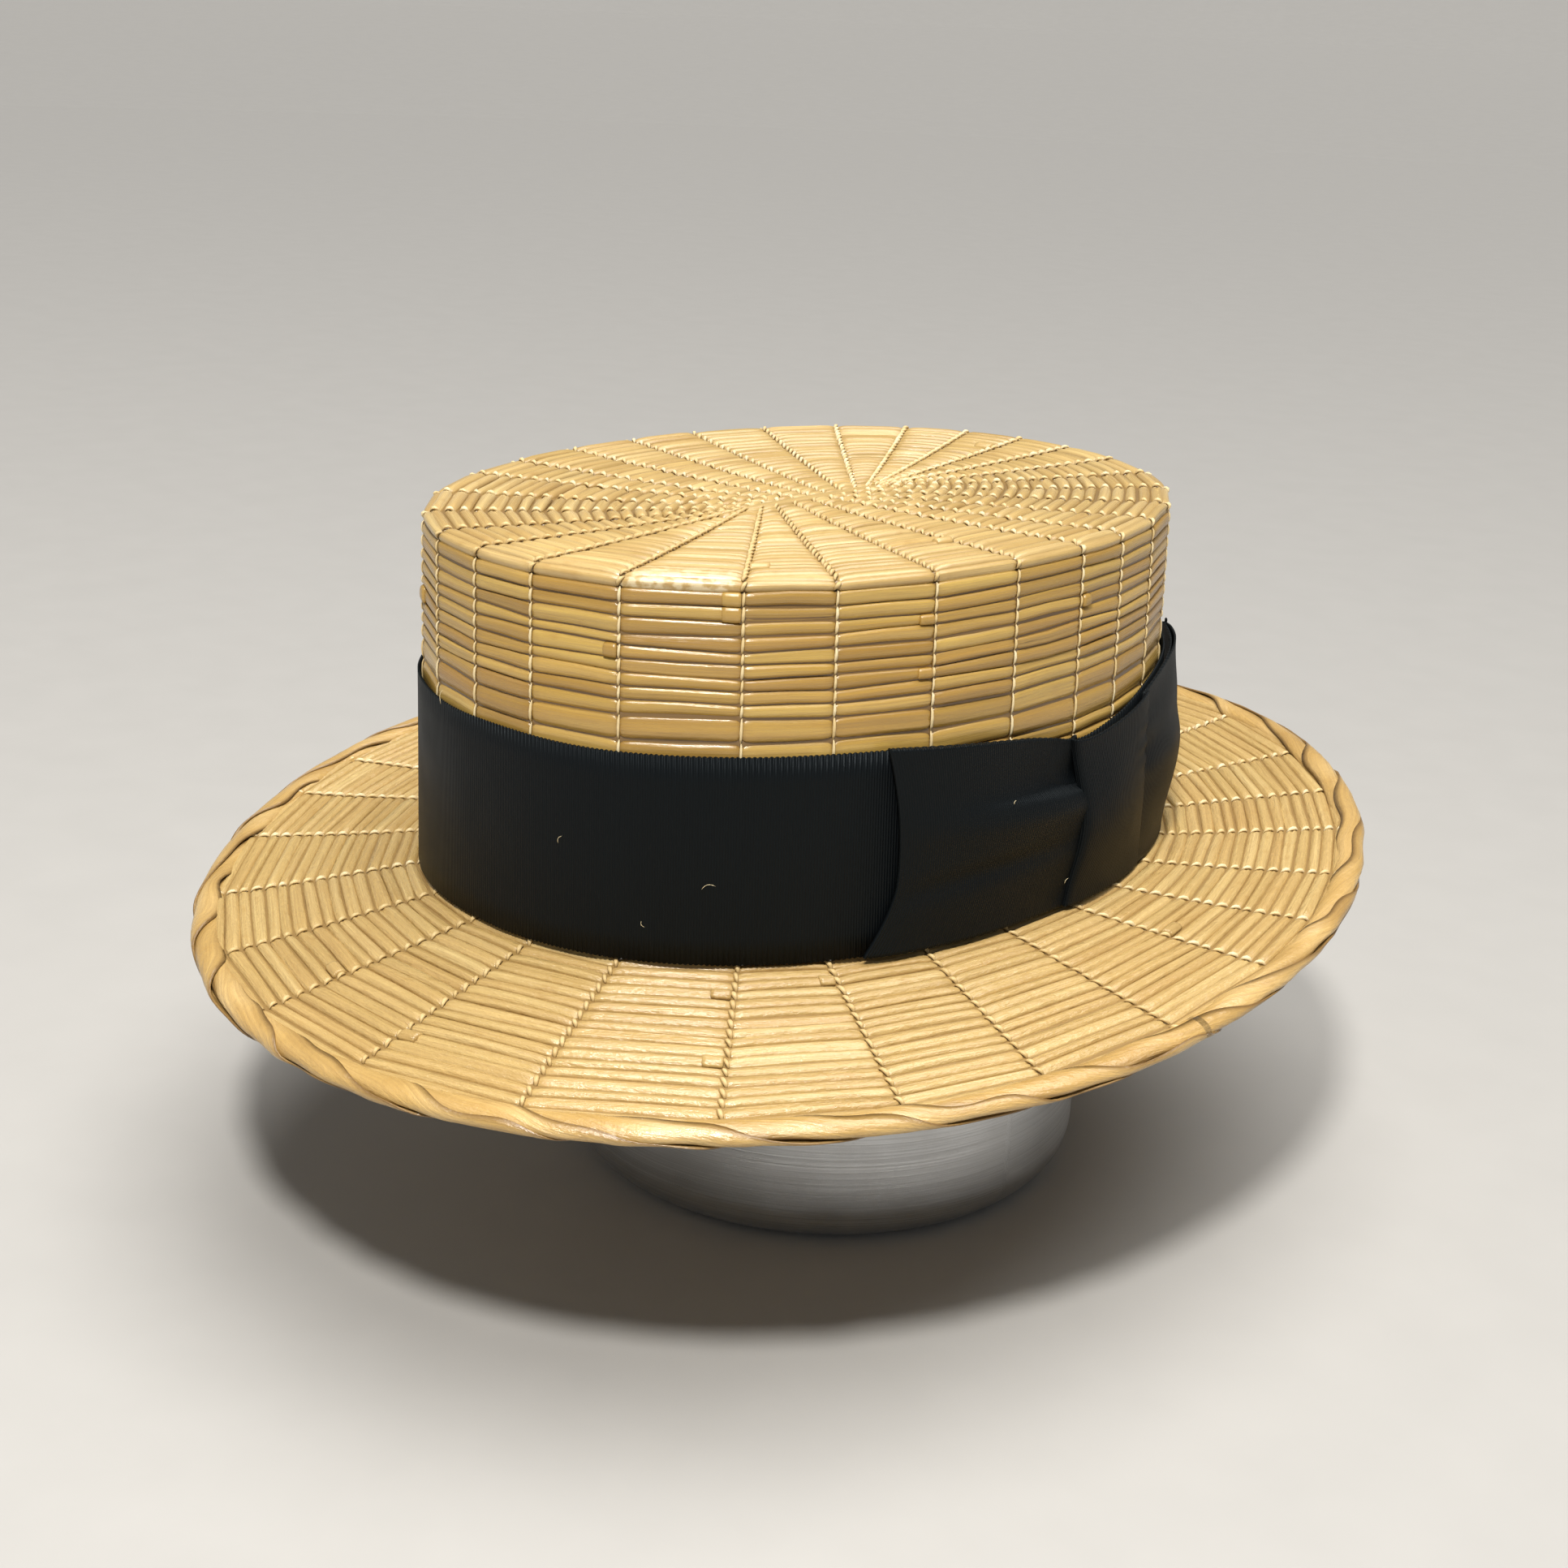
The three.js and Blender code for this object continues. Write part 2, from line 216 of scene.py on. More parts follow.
def even_rows(start, end, pitch, unevenness):
    """Row boundaries from start to end, about pitch apart."""
    count = round((end - start) / pitch)
    steps = 1 + unevenness * rng.uniform(-1, 1, count)
    return start + (end - start) * np.concatenate([[0], np.cumsum(steps) / steps.sum()])


def wall_rows():
    """The rows over the ribbon are uneven: the two lowest that show are the widest."""
    low, middle, high = WIDEST_ROWS
    hidden = even_rows(0.2, RIBBON_TOP + low, 3.6, 0.05)
    upper = even_rows(RIBBON_TOP + high, WALL_RUN - 0.6, 3.3, 0.1)
    return np.concatenate([hidden, [RIBBON_TOP + middle], upper])


WALL = Weave(
    name="wall", rib=crown_rib, outwards=1, rows=wall_rows(), outline=FLAT,
    width=0.98, height=0.85, drop=0.9, wobble=0.24,
    variety=1.0, cracks=1.0, creased=0.3, pinch=1.0,
    thread=Thread(width=0.75, height=0.5, sink=0.5, slant=0.1, length=1.0),
)
TIP = Weave(
    name="tip", rib=crown_rib, outwards=1, outline=ROUND,
    rows=even_rows(WALL_RUN - 0.6, WALL_RUN + RIM_RUN + TIP_RUN - 1.2, 3.4, 0.07),
    width=0.98, height=1.3, drop=1.3, wobble=0.24,
    variety=0.6, cracks=1.0, creased=0.5, pinch=1.8,
    thread=Thread(width=1.2, height=0.9, sink=0.8, slant=0.5, length=0.62),
)
BRIM = Weave(
    name="brim", rib=brim_rib, outwards=-1, outline=ROUND,
    rows=even_rows(-1.6, BRIM_WIDTH - EDGE_WIDTH / 2 - 0.4, 3.25, 0.08),
    width=1.0, height=1.15, drop=1.1, wobble=0.2,
    variety=0.35, cracks=0.5, creased=0.65, pinch=1.5,
    thread=Thread(width=1.25, height=0.9, sink=0.8, slant=0.5, length=0.8),
)


# ---- Meshes from arrays ----


class Pile:
    """Collects many small closed bodies, and makes one mesh of them."""

    def __init__(self):
        self.points, self.uvs, self.faces, self.count = [], [], [], 0
        self.marks = {"tone": [], "hue": [], "grime": [], "wear": []}

    def add_tubes(self, points, uvs, ring=False, **marks):
        """points is (tubes, stations, section, 3). A ring joins its ends, and other tubes close theirs."""
        tubes, stations, section = points.shape[:3]
        index = np.arange(points.size // 3).reshape(tubes, stations, section) + self.count
        here = index if ring else index[:, :-1]
        there = np.roll(index, -1, axis=1) if ring else index[:, 1:]
        quads = [here, np.roll(here, -1, axis=2), np.roll(there, -1, axis=2), there]
        self.faces.append(np.stack(quads, axis=-1).reshape(-1, 4))
        if not ring:
            self.faces.append(index[:, 0, ::-1].reshape(tubes, section))
            self.faces.append(index[:, -1].reshape(tubes, section))
        self.points.append(points.reshape(-1, 3))
        self.uvs.append(uvs.reshape(-1, 2))
        for name, values in self.marks.items():
            given = np.broadcast_to(marks.get(name, 0.5 if name == "tone" else 0.0), points.shape[:3])
            values.append(given.reshape(-1))
        self.count += tubes * stations * section

    def mesh(self, name):
        points = np.concatenate(self.points) * MM
        mesh = bpy.data.meshes.new(name)
        mesh.vertices.add(len(points))
        mesh.vertices.foreach_set("co", points.astype(np.float32).ravel())
        loops = np.concatenate([f.ravel() for f in self.faces])
        sizes = np.concatenate([np.full(len(f), f.shape[1]) for f in self.faces])
        mesh.loops.add(len(loops))
        mesh.loops.foreach_set("vertex_index", loops.astype(np.int32))
        mesh.polygons.add(len(sizes))
        starts = np.concatenate([[0], np.cumsum(sizes)[:-1]])
        mesh.polygons.foreach_set("loop_start", starts.astype(np.int32))
        mesh.update(calc_edges=True)
        mesh.polygons.foreach_set("use_smooth", np.full(len(sizes), True))
        layer = mesh.uv_layers.new(name="UVMap")
        layer.data.foreach_set("uv", np.concatenate(self.uvs)[loops].astype(np.float32).ravel())
        for key, values in self.marks.items():
            attribute = mesh.attributes.new(key, "FLOAT", "POINT")
            attribute.data.foreach_set("value", np.concatenate(values).astype(np.float32))
        mesh.validate()
        mesh.update()
        return mesh


def piece(name, mesh, material, slot, replaces=()):
    """Puts a finished mesh in the scene as one piece of the hat or its stand."""
    made = bpy.data.objects.new(name, mesh)
    bpy.context.scene.collection.objects.link(made)
    mesh.materials.append(material)
    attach(made, "root")
    if replaces:
        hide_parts(*replaces)
    return made


# ---- Straws ----

# How a straw is pinched near its two ends: distances in millimetres, and shares of its full size.
PINCH_AT = np.array([0, 0.45, 1.2, 2.8])
PINCH_WIDTH = np.array([0.45, 0.8, 0.94, 1.0])
PINCH_HEIGHT = np.array([0.25, 0.62, 0.88, 1.0])
# How much painted shade darkens a straw near its ends, in the groove at the rib.
PINCH_SHADE = np.array([1.0, 0.4, 0.12, 0])
SHORTEST = 0.9  # no straw or stitch is made where there is less room than this
STRAW_PITCH = 3.5  # about a row of straw, for the UVs
UV_SPREAD = 900  # straws and stitches take their pattern from places this far apart


def rib_boundaries(weave):
    """Where each row begins on each rib: rows stay in line across a rib, with a little unevenness."""
    rows = weave.rows
    wobble = rng.normal(0, weave.wobble, (SECTORS, len(rows)))
    wobble[:, [0, -1]] = 0
    return rows + wobble


def surface_axes(weave, rib_a, rib_b, run):
    """Unit vectors along a sector's straws and out of the surface."""
    step = 0.5
    a, b = weave.rib(rib_a, run), weave.rib(rib_b, run)
    onwards = weave.rib(rib_a, run + step) + weave.rib(rib_b, run + step) - a - b
    along = unit(b - a)
    return along, unit(weave.outwards * np.cross(along, onwards))


def stations_for(lengths, pinch):
    """Shares of each straw's length at which its section is placed, with a station in the middle."""
    reach = np.minimum(pinch * PINCH_AT[-1], 0.42 * lengths)[:, None]
    near = reach * PINCH_AT / PINCH_AT[-1]
    share = near / lengths[:, None]
    middle = np.full((len(lengths), 1), 0.5)
    return np.concatenate([share, middle, 1 - share[:, ::-1]], axis=1)


def mirrored(values, middle):
    return np.concatenate([values, [middle], values[::-1]])


def straws(weave, pile):
    """Every straw of a weave. Returns the rows' boundaries on each rib."""
    bounds = rib_boundaries(weave)
    sector, row = np.meshgrid(np.arange(SECTORS), np.arange(len(weave.rows) - 1), indexing="ij")
    sector, row = sector.ravel(), row.ravel()
    after = (sector + 1) % SECTORS
    low_a, high_a = bounds[sector, row], bounds[sector, row + 1]
    low_b, high_b = bounds[after, row], bounds[after, row + 1]
    middle = (low_a + high_a + low_b + high_b) / 4
    length = np.linalg.norm(weave.rib(after, middle) - weave.rib(sector, middle), axis=-1)
    keep = length > SHORTEST
    sector, after, row, length = sector[keep], after[keep], row[keep], length[keep]
    low_a, high_a, low_b, high_b, middle = (v[keep] for v in (low_a, high_a, low_b, high_b, middle))
    count = len(sector)

    share = stations_for(length, weave.pinch)[:, :, None]
    width = mirrored(PINCH_WIDTH, 1.0)[:, None] * weave.width
    across = ACROSS * (width * rng.uniform(0.94, 1.06, (count, 1, 1)))
    run_a = ((low_a + high_a) / 2)[:, None, None] + across * (high_a - low_a)[:, None, None]
    run_b = ((low_b + high_b) / 2)[:, None, None] + across * (high_b - low_b)[:, None, None]
    a = weave.rib(sector[:, None, None], run_a)
    b = weave.rib(after[:, None, None], run_b)
    points = a * (1 - share[..., None]) + b * share[..., None]

    outline = np.tile(weave.outline.lift, (count, 1, 1))
    creased = rng.random(count) < weave.creased
    crease_at = rng.integers(2, 5, count)
    outline[np.arange(count)[creased], 0, crease_at[creased]] -= rng.uniform(0.2, 0.6, creased.sum())
    height = mirrored(PINCH_HEIGHT, 1.0)[:, None] * weave.height
    height = height * rng.uniform(0.88, 1.1, (count, 1, 1))
    tilt = rng.normal(0, 0.09, (count, 1, 1)) * ACROSS * 2
    bulge = rng.normal(0, 0.1, (count, 1, 1)) * mirrored(PINCH_AT / PINCH_AT[-1], 1.0)[:, None]
    lift = outline * height + tilt + bulge - weave.drop
    along, out = surface_axes(weave, sector, after, middle)
    points = points + out[:, None, None, :] * lift[..., None]
    sway = rng.normal(0, 0.16, (count, 1, 1)) * np.sin(share * math.pi)
    points = points + np.cross(out, along)[:, None, None, :] * sway[..., None]

    shape = (count, share.shape[1], len(ACROSS))
    run_along = np.broadcast_to(share * length[:, None, None], shape)
    run_along = run_along + rng.uniform(0, UV_SPREAD, (count, 1, 1))
    aside = np.broadcast_to(across * STRAW_PITCH, shape) + rng.uniform(0, UV_SPREAD, (count, 1, 1))
    # Painted shade: in the gap beside the next straw, on the flanks and at the pinched ends by the ribs.
    grime = np.maximum(weave.outline.grime, mirrored(PINCH_SHADE, 0)[:, None])[None]
    grime = grime * rng.uniform(0.6, 1, (count, 1, 1)) * weave.cracks
    pile.add_tubes(
        points,
        joined(run_along, aside),
        tone=0.5 + weave.variety * rng.uniform(-0.5, 0.5, (count, 1, 1)),
        hue=rng.random((count, 1, 1)),
        grime=grime,
        wear=worn(weave, sector, row)[:, None, None],
    )
    return bounds


WORN_SECTOR = 7  # the sector whose rim is rubbed pale, at the front on the wearer's left


def worn(weave, sector, row):
    """How rubbed a straw is: only a few beside the rim of the tip, in one sector."""
    if weave.name != "tip":
        return np.zeros(len(sector))
    return np.where((sector == WORN_SECTOR) & (row <= 3), 1.0 - 0.25 * row, 0.0)


THREAD_SIDES = 6
FRONT_SHADE_RIBS = range(4, 12)  # at the front of the brim and tip these stitches are painted darker, yellow like the straw: painted shade, as the stitches at the sides catch more light
THREAD_STATIONS = np.array([0, 0.2, 0.5, 0.8, 1])


def stitches(weave, bounds, pile, inner=False):
    """One stitch of thread over each row at each rib, sunk at both its ends, and its twin inside."""
    rib, row = np.meshgrid(np.arange(SECTORS), np.arange(len(weave.rows) - 1), indexing="ij")
    rib, row = rib.ravel(), row.ravel()
    before, after = (rib - 1) % SECTORS, (rib + 1) % SECTORS
    low, high = bounds[rib, row], bounds[rib, row + 1]
    middle = (low + high) / 2
    room = np.linalg.norm(weave.rib(after, middle) - weave.rib(before, middle), axis=-1) / 2
    keep = room > SHORTEST
    rib, before, after = rib[keep], before[keep], after[keep]
    low, high, middle = low[keep], high[keep], middle[keep]
    count = len(rib)
    thread = weave.thread

    along_a, out_a = surface_axes(weave, before, rib, middle)
    along_b, out_b = surface_axes(weave, rib, after, middle)
    along, out = unit(along_a + along_b), unit(out_a + out_b)
    half = (high - low) / 2 * thread.length
    place = THREAD_STATIONS * 2 - 1
    run = middle[:, None] + half[:, None] * place
    path = weave.rib(rib[:, None], run)
    slant = thread.slant * rng.uniform(0.7, 1.3, (count, 1)) * place
    rise = (1 - place**2) ** 0.6
    size = rng.uniform(0.85, 1.15, (count, 1))
    if inner:
        lift = -STRAW + 0.15 - 0.1 * rise * size
        slant = -slant
    else:
        lift = thread.sink * (rise - 1) * size - 0.16 - 0.5 * (weave.drop - weave.height)
    swell = (0.45 + 0.55 * rise) * size / 2

    turn = np.arange(THREAD_SIDES) * 2 * math.pi / THREAD_SIDES
    wide = np.cos(turn) * (thread.width * swell)[:, :, None] + slant[:, :, None]
    tall = np.sin(turn) * (thread.height * swell)[:, :, None] + lift[:, :, None]
    points = path[:, :, None, :] + along[:, None, None, :] * wide[..., None]
    points = points + out[:, None, None, :] * tall[..., None]
    # Painted shade: the stitches on the front ribs of the tip and brim are darker than those at the sides.
    front_shade = np.isin(rib, FRONT_SHADE_RIBS) & (weave.name != "wall")
    tone = rng.uniform(0.5, 1, count) * np.where(front_shade, 0.45, 1)
    u = (run - low[:, None])[:, :, None] + rng.uniform(0, UV_SPREAD, (count, 1, 1))
    # Painted shade on each stitch, darkest where its ends sink into the straw.
    pile.add_tubes(
        points,
        joined(u, turn),
        tone=tone[:, None, None],
        hue=rng.random((count, 1, 1)),
        grime=(1 - rise)[:, None] * 0.7,
    )


# Short wrapped ends, where a new straw starts beside a rib.
Splice = namedtuple("Splice", "weave rib row side length")
SPLICES = [
    Splice(WALL, 8, 22, -1, 4.5),
    Splice(WALL, 8, 24, -1, 4.5),
    Splice(WALL, 7, 19, -1, 3.5),
    Splice(WALL, 10, 21, -1, 4),
    Splice(WALL, 10, 17, -1, 4),
    Splice(WALL, 12, 20, 1, 3.5),
    Splice(WALL, 3, 18, 1, 4),
    Splice(WALL, 22, 21, -1, 4),
    Splice(WALL, 25, 18, 1, 4),
    Splice(BRIM, 8, 3, -1, 5),
    Splice(BRIM, 8, 10, -1, 5),
    Splice(BRIM, 6, 12, 1, 5),
    Splice(BRIM, 5, 10, -1, 6),
    Splice(BRIM, 12, 8, 1, 6),
    Splice(BRIM, 9, 2, -1, 4),
    Splice(BRIM, 19, 6, 1, 5),
    Splice(BRIM, 23, 9, -1, 5),
    Splice(TIP, 8, 4, 1, 5),
    Splice(TIP, 11, 7, -1, 5),
    Splice(TIP, 20, 5, 1, 5),
]


def splices(weave, bounds, pile):
    """The wrapped ends that lie on this weave."""
    for splice in SPLICES:
        if splice.weave is not weave:
            continue
        row = min(splice.row, len(weave.rows) - 2)
        here = splice.rib
        there = (splice.rib + splice.side) % SECTORS
        low, high = bounds[here, row], bounds[here, row + 1]
        middle = (low + high) / 2
        _, out = surface_axes(weave, min(here, there), max(here, there), middle)
        start = weave.rib(here, middle)
        to_there = unit(weave.rib(there, middle) - start)
        distance = np.array([0.5, 0.7, 1.2, splice.length - 0.8, splice.length, splice.length + 0.2])
        swell = np.array([0.6, 0.95, 1, 1, 0.95, 0.7])
        across = ACROSS * 1.06 * swell[:, None]
        base = weave.rib(here, middle + across * (high - low))
        lift = weave.outline.lift * weave.height * swell[:, None] + 0.6 - weave.drop
        points = base + to_there * distance[:, None, None] + out * lift[..., None]
        if splice.side < 0:
            points = points[::-1]
        uv = joined(distance[:, None] + 300.0, across * STRAW_PITCH)
        # Half a straw's painted shade, in the gaps at its sides.
        pile.add_tubes(
            points[None],
            uv[None],
            tone=rng.uniform(0.2, 0.6),
            hue=rng.random(),
            grime=0.5 * FLAT.grime,
        )


def seam_straw(pile):
    """One straw along the seam at the middle of the tip."""
    length = 2 * SEAM_HALF_LENGTH + 3
    place = np.linspace(-0.5, 0.5, 12)
    swell = np.clip(1.1 - (2 * np.abs(place)) ** 6, 0.35, 1)
    across = ACROSS * 3.6 * swell[:, None]
    height = BRIM_LEVEL + CROWN_HEIGHT - TIP_DISH + 0.9 * (ROUND.lift * swell[:, None] - 1)
    points = joined(across, place[::-1, None] * length, height)
    uv = joined(place[:, None] * length, across)
    # With the tip's painted shade on its flanks and in the gaps at its sides.
    pile.add_tubes(points[None], uv[None], tone=0.4, grime=ROUND.grime)


BACKING = 0.3


def backing(weave, pile):
    """A thin sheet between the straws' two faces, so that no light passes between the rows, painted dark as
    shade.
    """
    runs = np.linspace(weave.rows[0] + 0.3, weave.rows[-1] - 0.3, 26)
    rib = np.arange(SECTORS)
    level = weave.rib(rib[:, None], runs[None, :])
    after = (rib + 1) % SECTORS
    _, out = surface_axes(weave, rib[:, None], after[:, None], runs[None, :])
    out = unit(out + np.roll(out, 1, axis=0))
    outer = level + out * (-weave.drop + BACKING / 2)
    inner = level + out * (-weave.drop - BACKING / 2)
    section = np.concatenate([outer, inner[:, ::-1]], axis=1)
    pile.add_tubes(section[None], np.zeros((1, *section.shape[:2], 2)), ring=True, tone=0.0, grime=1.0)


# ---- The twisted edge ----

EDGE_STRANDS = 3
EDGE_TWISTS = 10  # turns of the twist round the whole brim
EDGE_STATIONS = 480
STRIP_WIDTH = 7.2
STRIP_THICKNESS = 1.2
STRIP_COLUMNS = 9
CORE_STATIONS = 160
CORE_SIDES = 10


def edge_frame(degrees):
    """Centre of the twisted edge, with unit vectors outwards and upwards."""
    middle = BRIM_WIDTH - EDGE_WIDTH / 2
    x, y = oval(degrees, CROWN_HALF_WIDTH + middle, CROWN_HALF_LENGTH + middle)
    centre = joined(x, y, BRIM_LEVEL + brim_wave(degrees) * middle / BRIM_WIDTH - STRAW / 2)
    ahead = unit(np.roll(centre, -1, axis=0) - np.roll(centre, 1, axis=0))
    inner = joined(*oval(degrees, CROWN_HALF_WIDTH, CROWN_HALF_LENGTH), BRIM_LEVEL)
    outwards = centre - inner
    outwards = unit(outwards - ahead * (outwards * ahead).sum(-1, keepdims=True))
    return centre, outwards, unit(np.cross(outwards, ahead))


def round_edge(axes, turn, wide, tall):
    """Points round the edge's centre: turn is their angle, and wide and tall are its half axes."""
    centre, outwards, upwards = (part[:, None, :] for part in axes)
    x, z = np.cos(turn) * wide, np.sin(turn) * tall
    return centre + outwards * x[..., None] + upwards * z[..., None]


def smooth_noise(count, waves, amount):
    """A closed random curve made of a few waves."""
    angle = np.linspace(0, 2 * math.pi, count, endpoint=False)
    curve = np.zeros(count)
    for turns in range(1, waves + 1):
        curve += rng.normal(0, 1) * np.cos(turns * angle + rng.uniform(0, 2 * math.pi))
    return amount * curve / math.sqrt(waves)


def twisted_edge(pile):
    """Three flat strips twisted round a bundle, each lapped over the next."""
    edge_core(pile)
    degrees = np.linspace(0, 360, EDGE_STATIONS, endpoint=False)
    axes = edge_frame(degrees)
    wide = EDGE_WIDTH / 2 - 1.5
    tall = EDGE_THICKNESS / 2 - 1.3
    across = np.linspace(-0.5, 0.5, STRIP_COLUMNS)
    crown = (1 - (2 * across) ** 2)[None, :] * 0.5
    shingle = (across + 0.5)[None, :] * 1.5 - 0.8
    outer_lift = STRIP_THICKNESS / 2 * (crown + 0.5) + shingle
    inner_lift = outer_lift - STRIP_THICKNESS * (0.35 + crown)
    aside = np.concatenate([across, across[::-1]])[None, :] * STRIP_WIDTH
    # Painted shade: on the side of each strip that lies under the next, along its edges, and over its whole
    # inner face.
    buried = np.clip(-3.2 * across - 0.35, 0, 1) + (2 * np.abs(across)) ** 8
    edge_shade = np.concatenate([np.minimum(buried, 1), np.full(STRIP_COLUMNS, 0.7)])
    for strand in range(EDGE_STRANDS):
        phase = EDGE_TWISTS * np.radians(degrees) + 2 * math.pi * strand / EDGE_STRANDS
        phase = -(phase + smooth_noise(EDGE_STATIONS, 36, 0.4))
        swell = 1 + smooth_noise(EDGE_STATIONS, 70, 0.07)[:, None]
        width = STRIP_WIDTH * (1 + smooth_noise(EDGE_STATIONS, 44, 0.22))
        turn = phase[:, None] + across[None, :] * width[:, None] / ((wide + tall) / 2)
        outer, inner = (
            round_edge(axes, turn, wide * swell + lift, tall * swell + lift)
            for lift in (outer_lift, inner_lift)
        )
        section = np.concatenate([outer, inner[:, ::-1]], axis=1)
        length = degrees[:, None] * 2.5 + 1000 * strand
        uv = joined(length, aside)
        tone = 0.42 + 0.14 * strand + smooth_noise(EDGE_STATIONS, 40, 0.2)[None, :, None]
        pile.add_tubes(
            section[None],
            uv[None],
            ring=True,
            tone=np.clip(tone, 0, 1),
            hue=0.5 + 0.3 * strand / EDGE_STRANDS,
            grime=edge_shade,
        )


def edge_core(pile):
    """The bundle inside the twist, painted dark as the shade between the strips."""
    turn = np.arange(CORE_SIDES) * 2 * math.pi / CORE_SIDES
    axes = edge_frame(np.linspace(0, 360, CORE_STATIONS, endpoint=False))
    section = round_edge(axes, turn, EDGE_WIDTH / 2 - 1.9, EDGE_THICKNESS / 2 - 1.6)
    pile.add_tubes(section[None], np.zeros((1, *section.shape[:2], 2)), ring=True, tone=0.1, grime=0.9)


# ---- Ribbon ----

RIBBON_THICKNESS = 0.55
GRAIN_PITCH = 0.62
BAND_COLUMNS = 1920
BAND_ROWS = 9


def crown_outside(degrees, outwards, height):
    """A point outside the crown wall, measured straight out from its oval."""
    narrowing = (CROWN_HALF_WIDTH - TIP_HALF_WIDTH) * height / CROWN_HEIGHT
    x, y = oval(degrees, CROWN_HALF_WIDTH - narrowing + outwards, CROWN_HALF_LENGTH + outwards)
    return joined(x, y, BRIM_LEVEL + height)


# The knot draws the ribbon's upper edge down: angles round the crown, and how far in millimetres.
FALL_DEGREES = (-32, -24, -14, -5, 1, 8, 13, 20, 28, 36, 44)
FALL_DEPTHS = (0, 0.3, 2.0, 3.8, 5.6, 8.6, 7.6, 5.7, 2.5, 0.5, 0)


def ribbon_fall(degrees):
    """How far the ribbon's upper edge is drawn down, rounded off over a few degrees."""
    wrapped = (np.asarray(degrees) + 180) % 360 - 180
    shifts = (-3, -1.5, 0, 1.5, 3)
    return np.mean([np.interp(wrapped + shift, FALL_DEGREES, FALL_DEPTHS) for shift in shifts], axis=0)


def run_lengths(points):
    """How far each of a line of points is along it."""
    return np.concatenate([[0], np.cumsum(np.linalg.norm(np.diff(points, axis=0), axis=-1))])


def picot(columns, depth):
    """The tiny scallops along a grosgrain ribbon's edges."""
    return depth * np.abs(np.sin(np.arange(columns) * math.pi / 4))


def ribbon_sheet(pile, outer, inner, u, v, ring=False):
    """A closed thin sheet between two grids of (columns, rows, 3), with its length and height as UV."""
    section = np.concatenate([outer, inner[:, ::-1]], axis=1)
    uv = np.broadcast_to(joined(u, v), (*outer.shape[:2], 2))
    uv = np.concatenate([uv, uv[:, ::-1]], axis=1)
    pile.add_tubes(section[None], uv[None], ring=ring)


BAND_STAND_OFF = 0.8  # from the straw to the band's outer face


def ribbon_band(pile):
    degrees = np.linspace(0, 360, BAND_COLUMNS, endpoint=False)
    share = np.linspace(0, 1, BAND_ROWS)
    edge = picot(BAND_COLUMNS, 0.34)
    top = RIBBON_TOP - 0.3 + edge + smooth_noise(BAND_COLUMNS, 14, 0.2) - ribbon_fall(degrees)
    foot = RIBBON_FOOT - edge
    height = foot[:, None] + (top - foot)[:, None] * share
    flare = 0.1 * share**6 + 0.05 * np.sin(np.radians(degrees) * 9)[:, None]
    outer = crown_outside(degrees[:, None], BAND_STAND_OFF + flare, height)
    inner = crown_outside(degrees[:, None], BAND_STAND_OFF - RIBBON_THICKNESS + flare, height)
    length = np.arange(BAND_COLUMNS)[:, None] * GRAIN_PITCH / 2
    ribbon_sheet(pile, outer, inner, length, height, ring=True)


# A fold across a bow piece: its angle round the crown, how far in degrees its ends lean, and how far it
# stands off at its bottom, middle and top.
Fold = namedtuple("Fold", "degrees lean bottom middle top")
FRONT_FOLDS = [
    Fold(-23.5, -2.0, 1.6, 1.8, 1.6),
    Fold(-20, -1.5, 2.0, 2.3, 2.0),
    Fold(-14, -1.0, 1.9, 2.7, 2.0),
    Fold(-8, -0.5, 1.7, 3.3, 1.8),
    Fold(-2, 0.0, 1.4, 3.8, 1.5),
    Fold(4, -0.6, 1.0, 3.8, 1.2),
    Fold(9.4, -1.8, 0.5, 2.7, 0.7),
]
KNOT_FOLDS = [
    Fold(6.7, -1.4, 0.8, 2.6, 0.8),
    Fold(6.9, -1.4, 2.0, 4.4, 2.0),
    Fold(8.4, -1.4, 2.5, 5.3, 2.5),
    Fold(13.2, -1.0, 2.7, 5.5, 2.7),
    Fold(18, 0.0, 2.5, 5.0, 2.5),
    Fold(22, 0.6, 2.2, 4.1, 2.2),
    Fold(24.4, 1.0, 1.8, 2.9, 1.8),
]
BACK_FOLDS = [
    Fold(23.6, 1.0, 1.3, 2.2, 1.2),
    Fold(29, 1.0, 1.6, 3.8, 1.2),
    Fold(35, 1.0, 1.9, 5.0, 1.4),
    Fold(41, 1.4, 2.0, 5.2, 1.9),
    Fold(47, 1.8, 1.9, 4.6, 2.3),
    Fold(52, 2.0, 1.6, 3.2, 2.2),
    Fold(54.5, 2.0, 1.2, 1.8, 1.4),
]
BOW_COLUMNS = 130
BOW_ROWS = 65
BOW_BASE = 1.6  # from the straw to where the folds are measured
BOW_UNDER = 0.5  # how far a loop's inner layer stands off
BOW_LOW = 1.2  # heights of the ribbon's edges over the brim
BOW_HIGH = 51.0


def fold_table(folds, columns):
    """The folds' columns, spread evenly over the given number of columns by smooth interpolation."""
    table = np.array(folds, float)
    place = np.linspace(0, len(folds) - 1, columns)
    index = np.clip(place.astype(int), 0, len(folds) - 2)
    before = table[np.maximum(index - 1, 0)]
    here, there = table[index], table[index + 1]
    after = table[np.minimum(index + 2, len(folds) - 1)]
    t = (place - index)[:, None]
    return 0.5 * (
        2 * here
        + (there - before) * t
        + (2 * before - 5 * here + 4 * there - after) * t**2
        + (3 * here - before - 3 * there + after) * t**3
    )


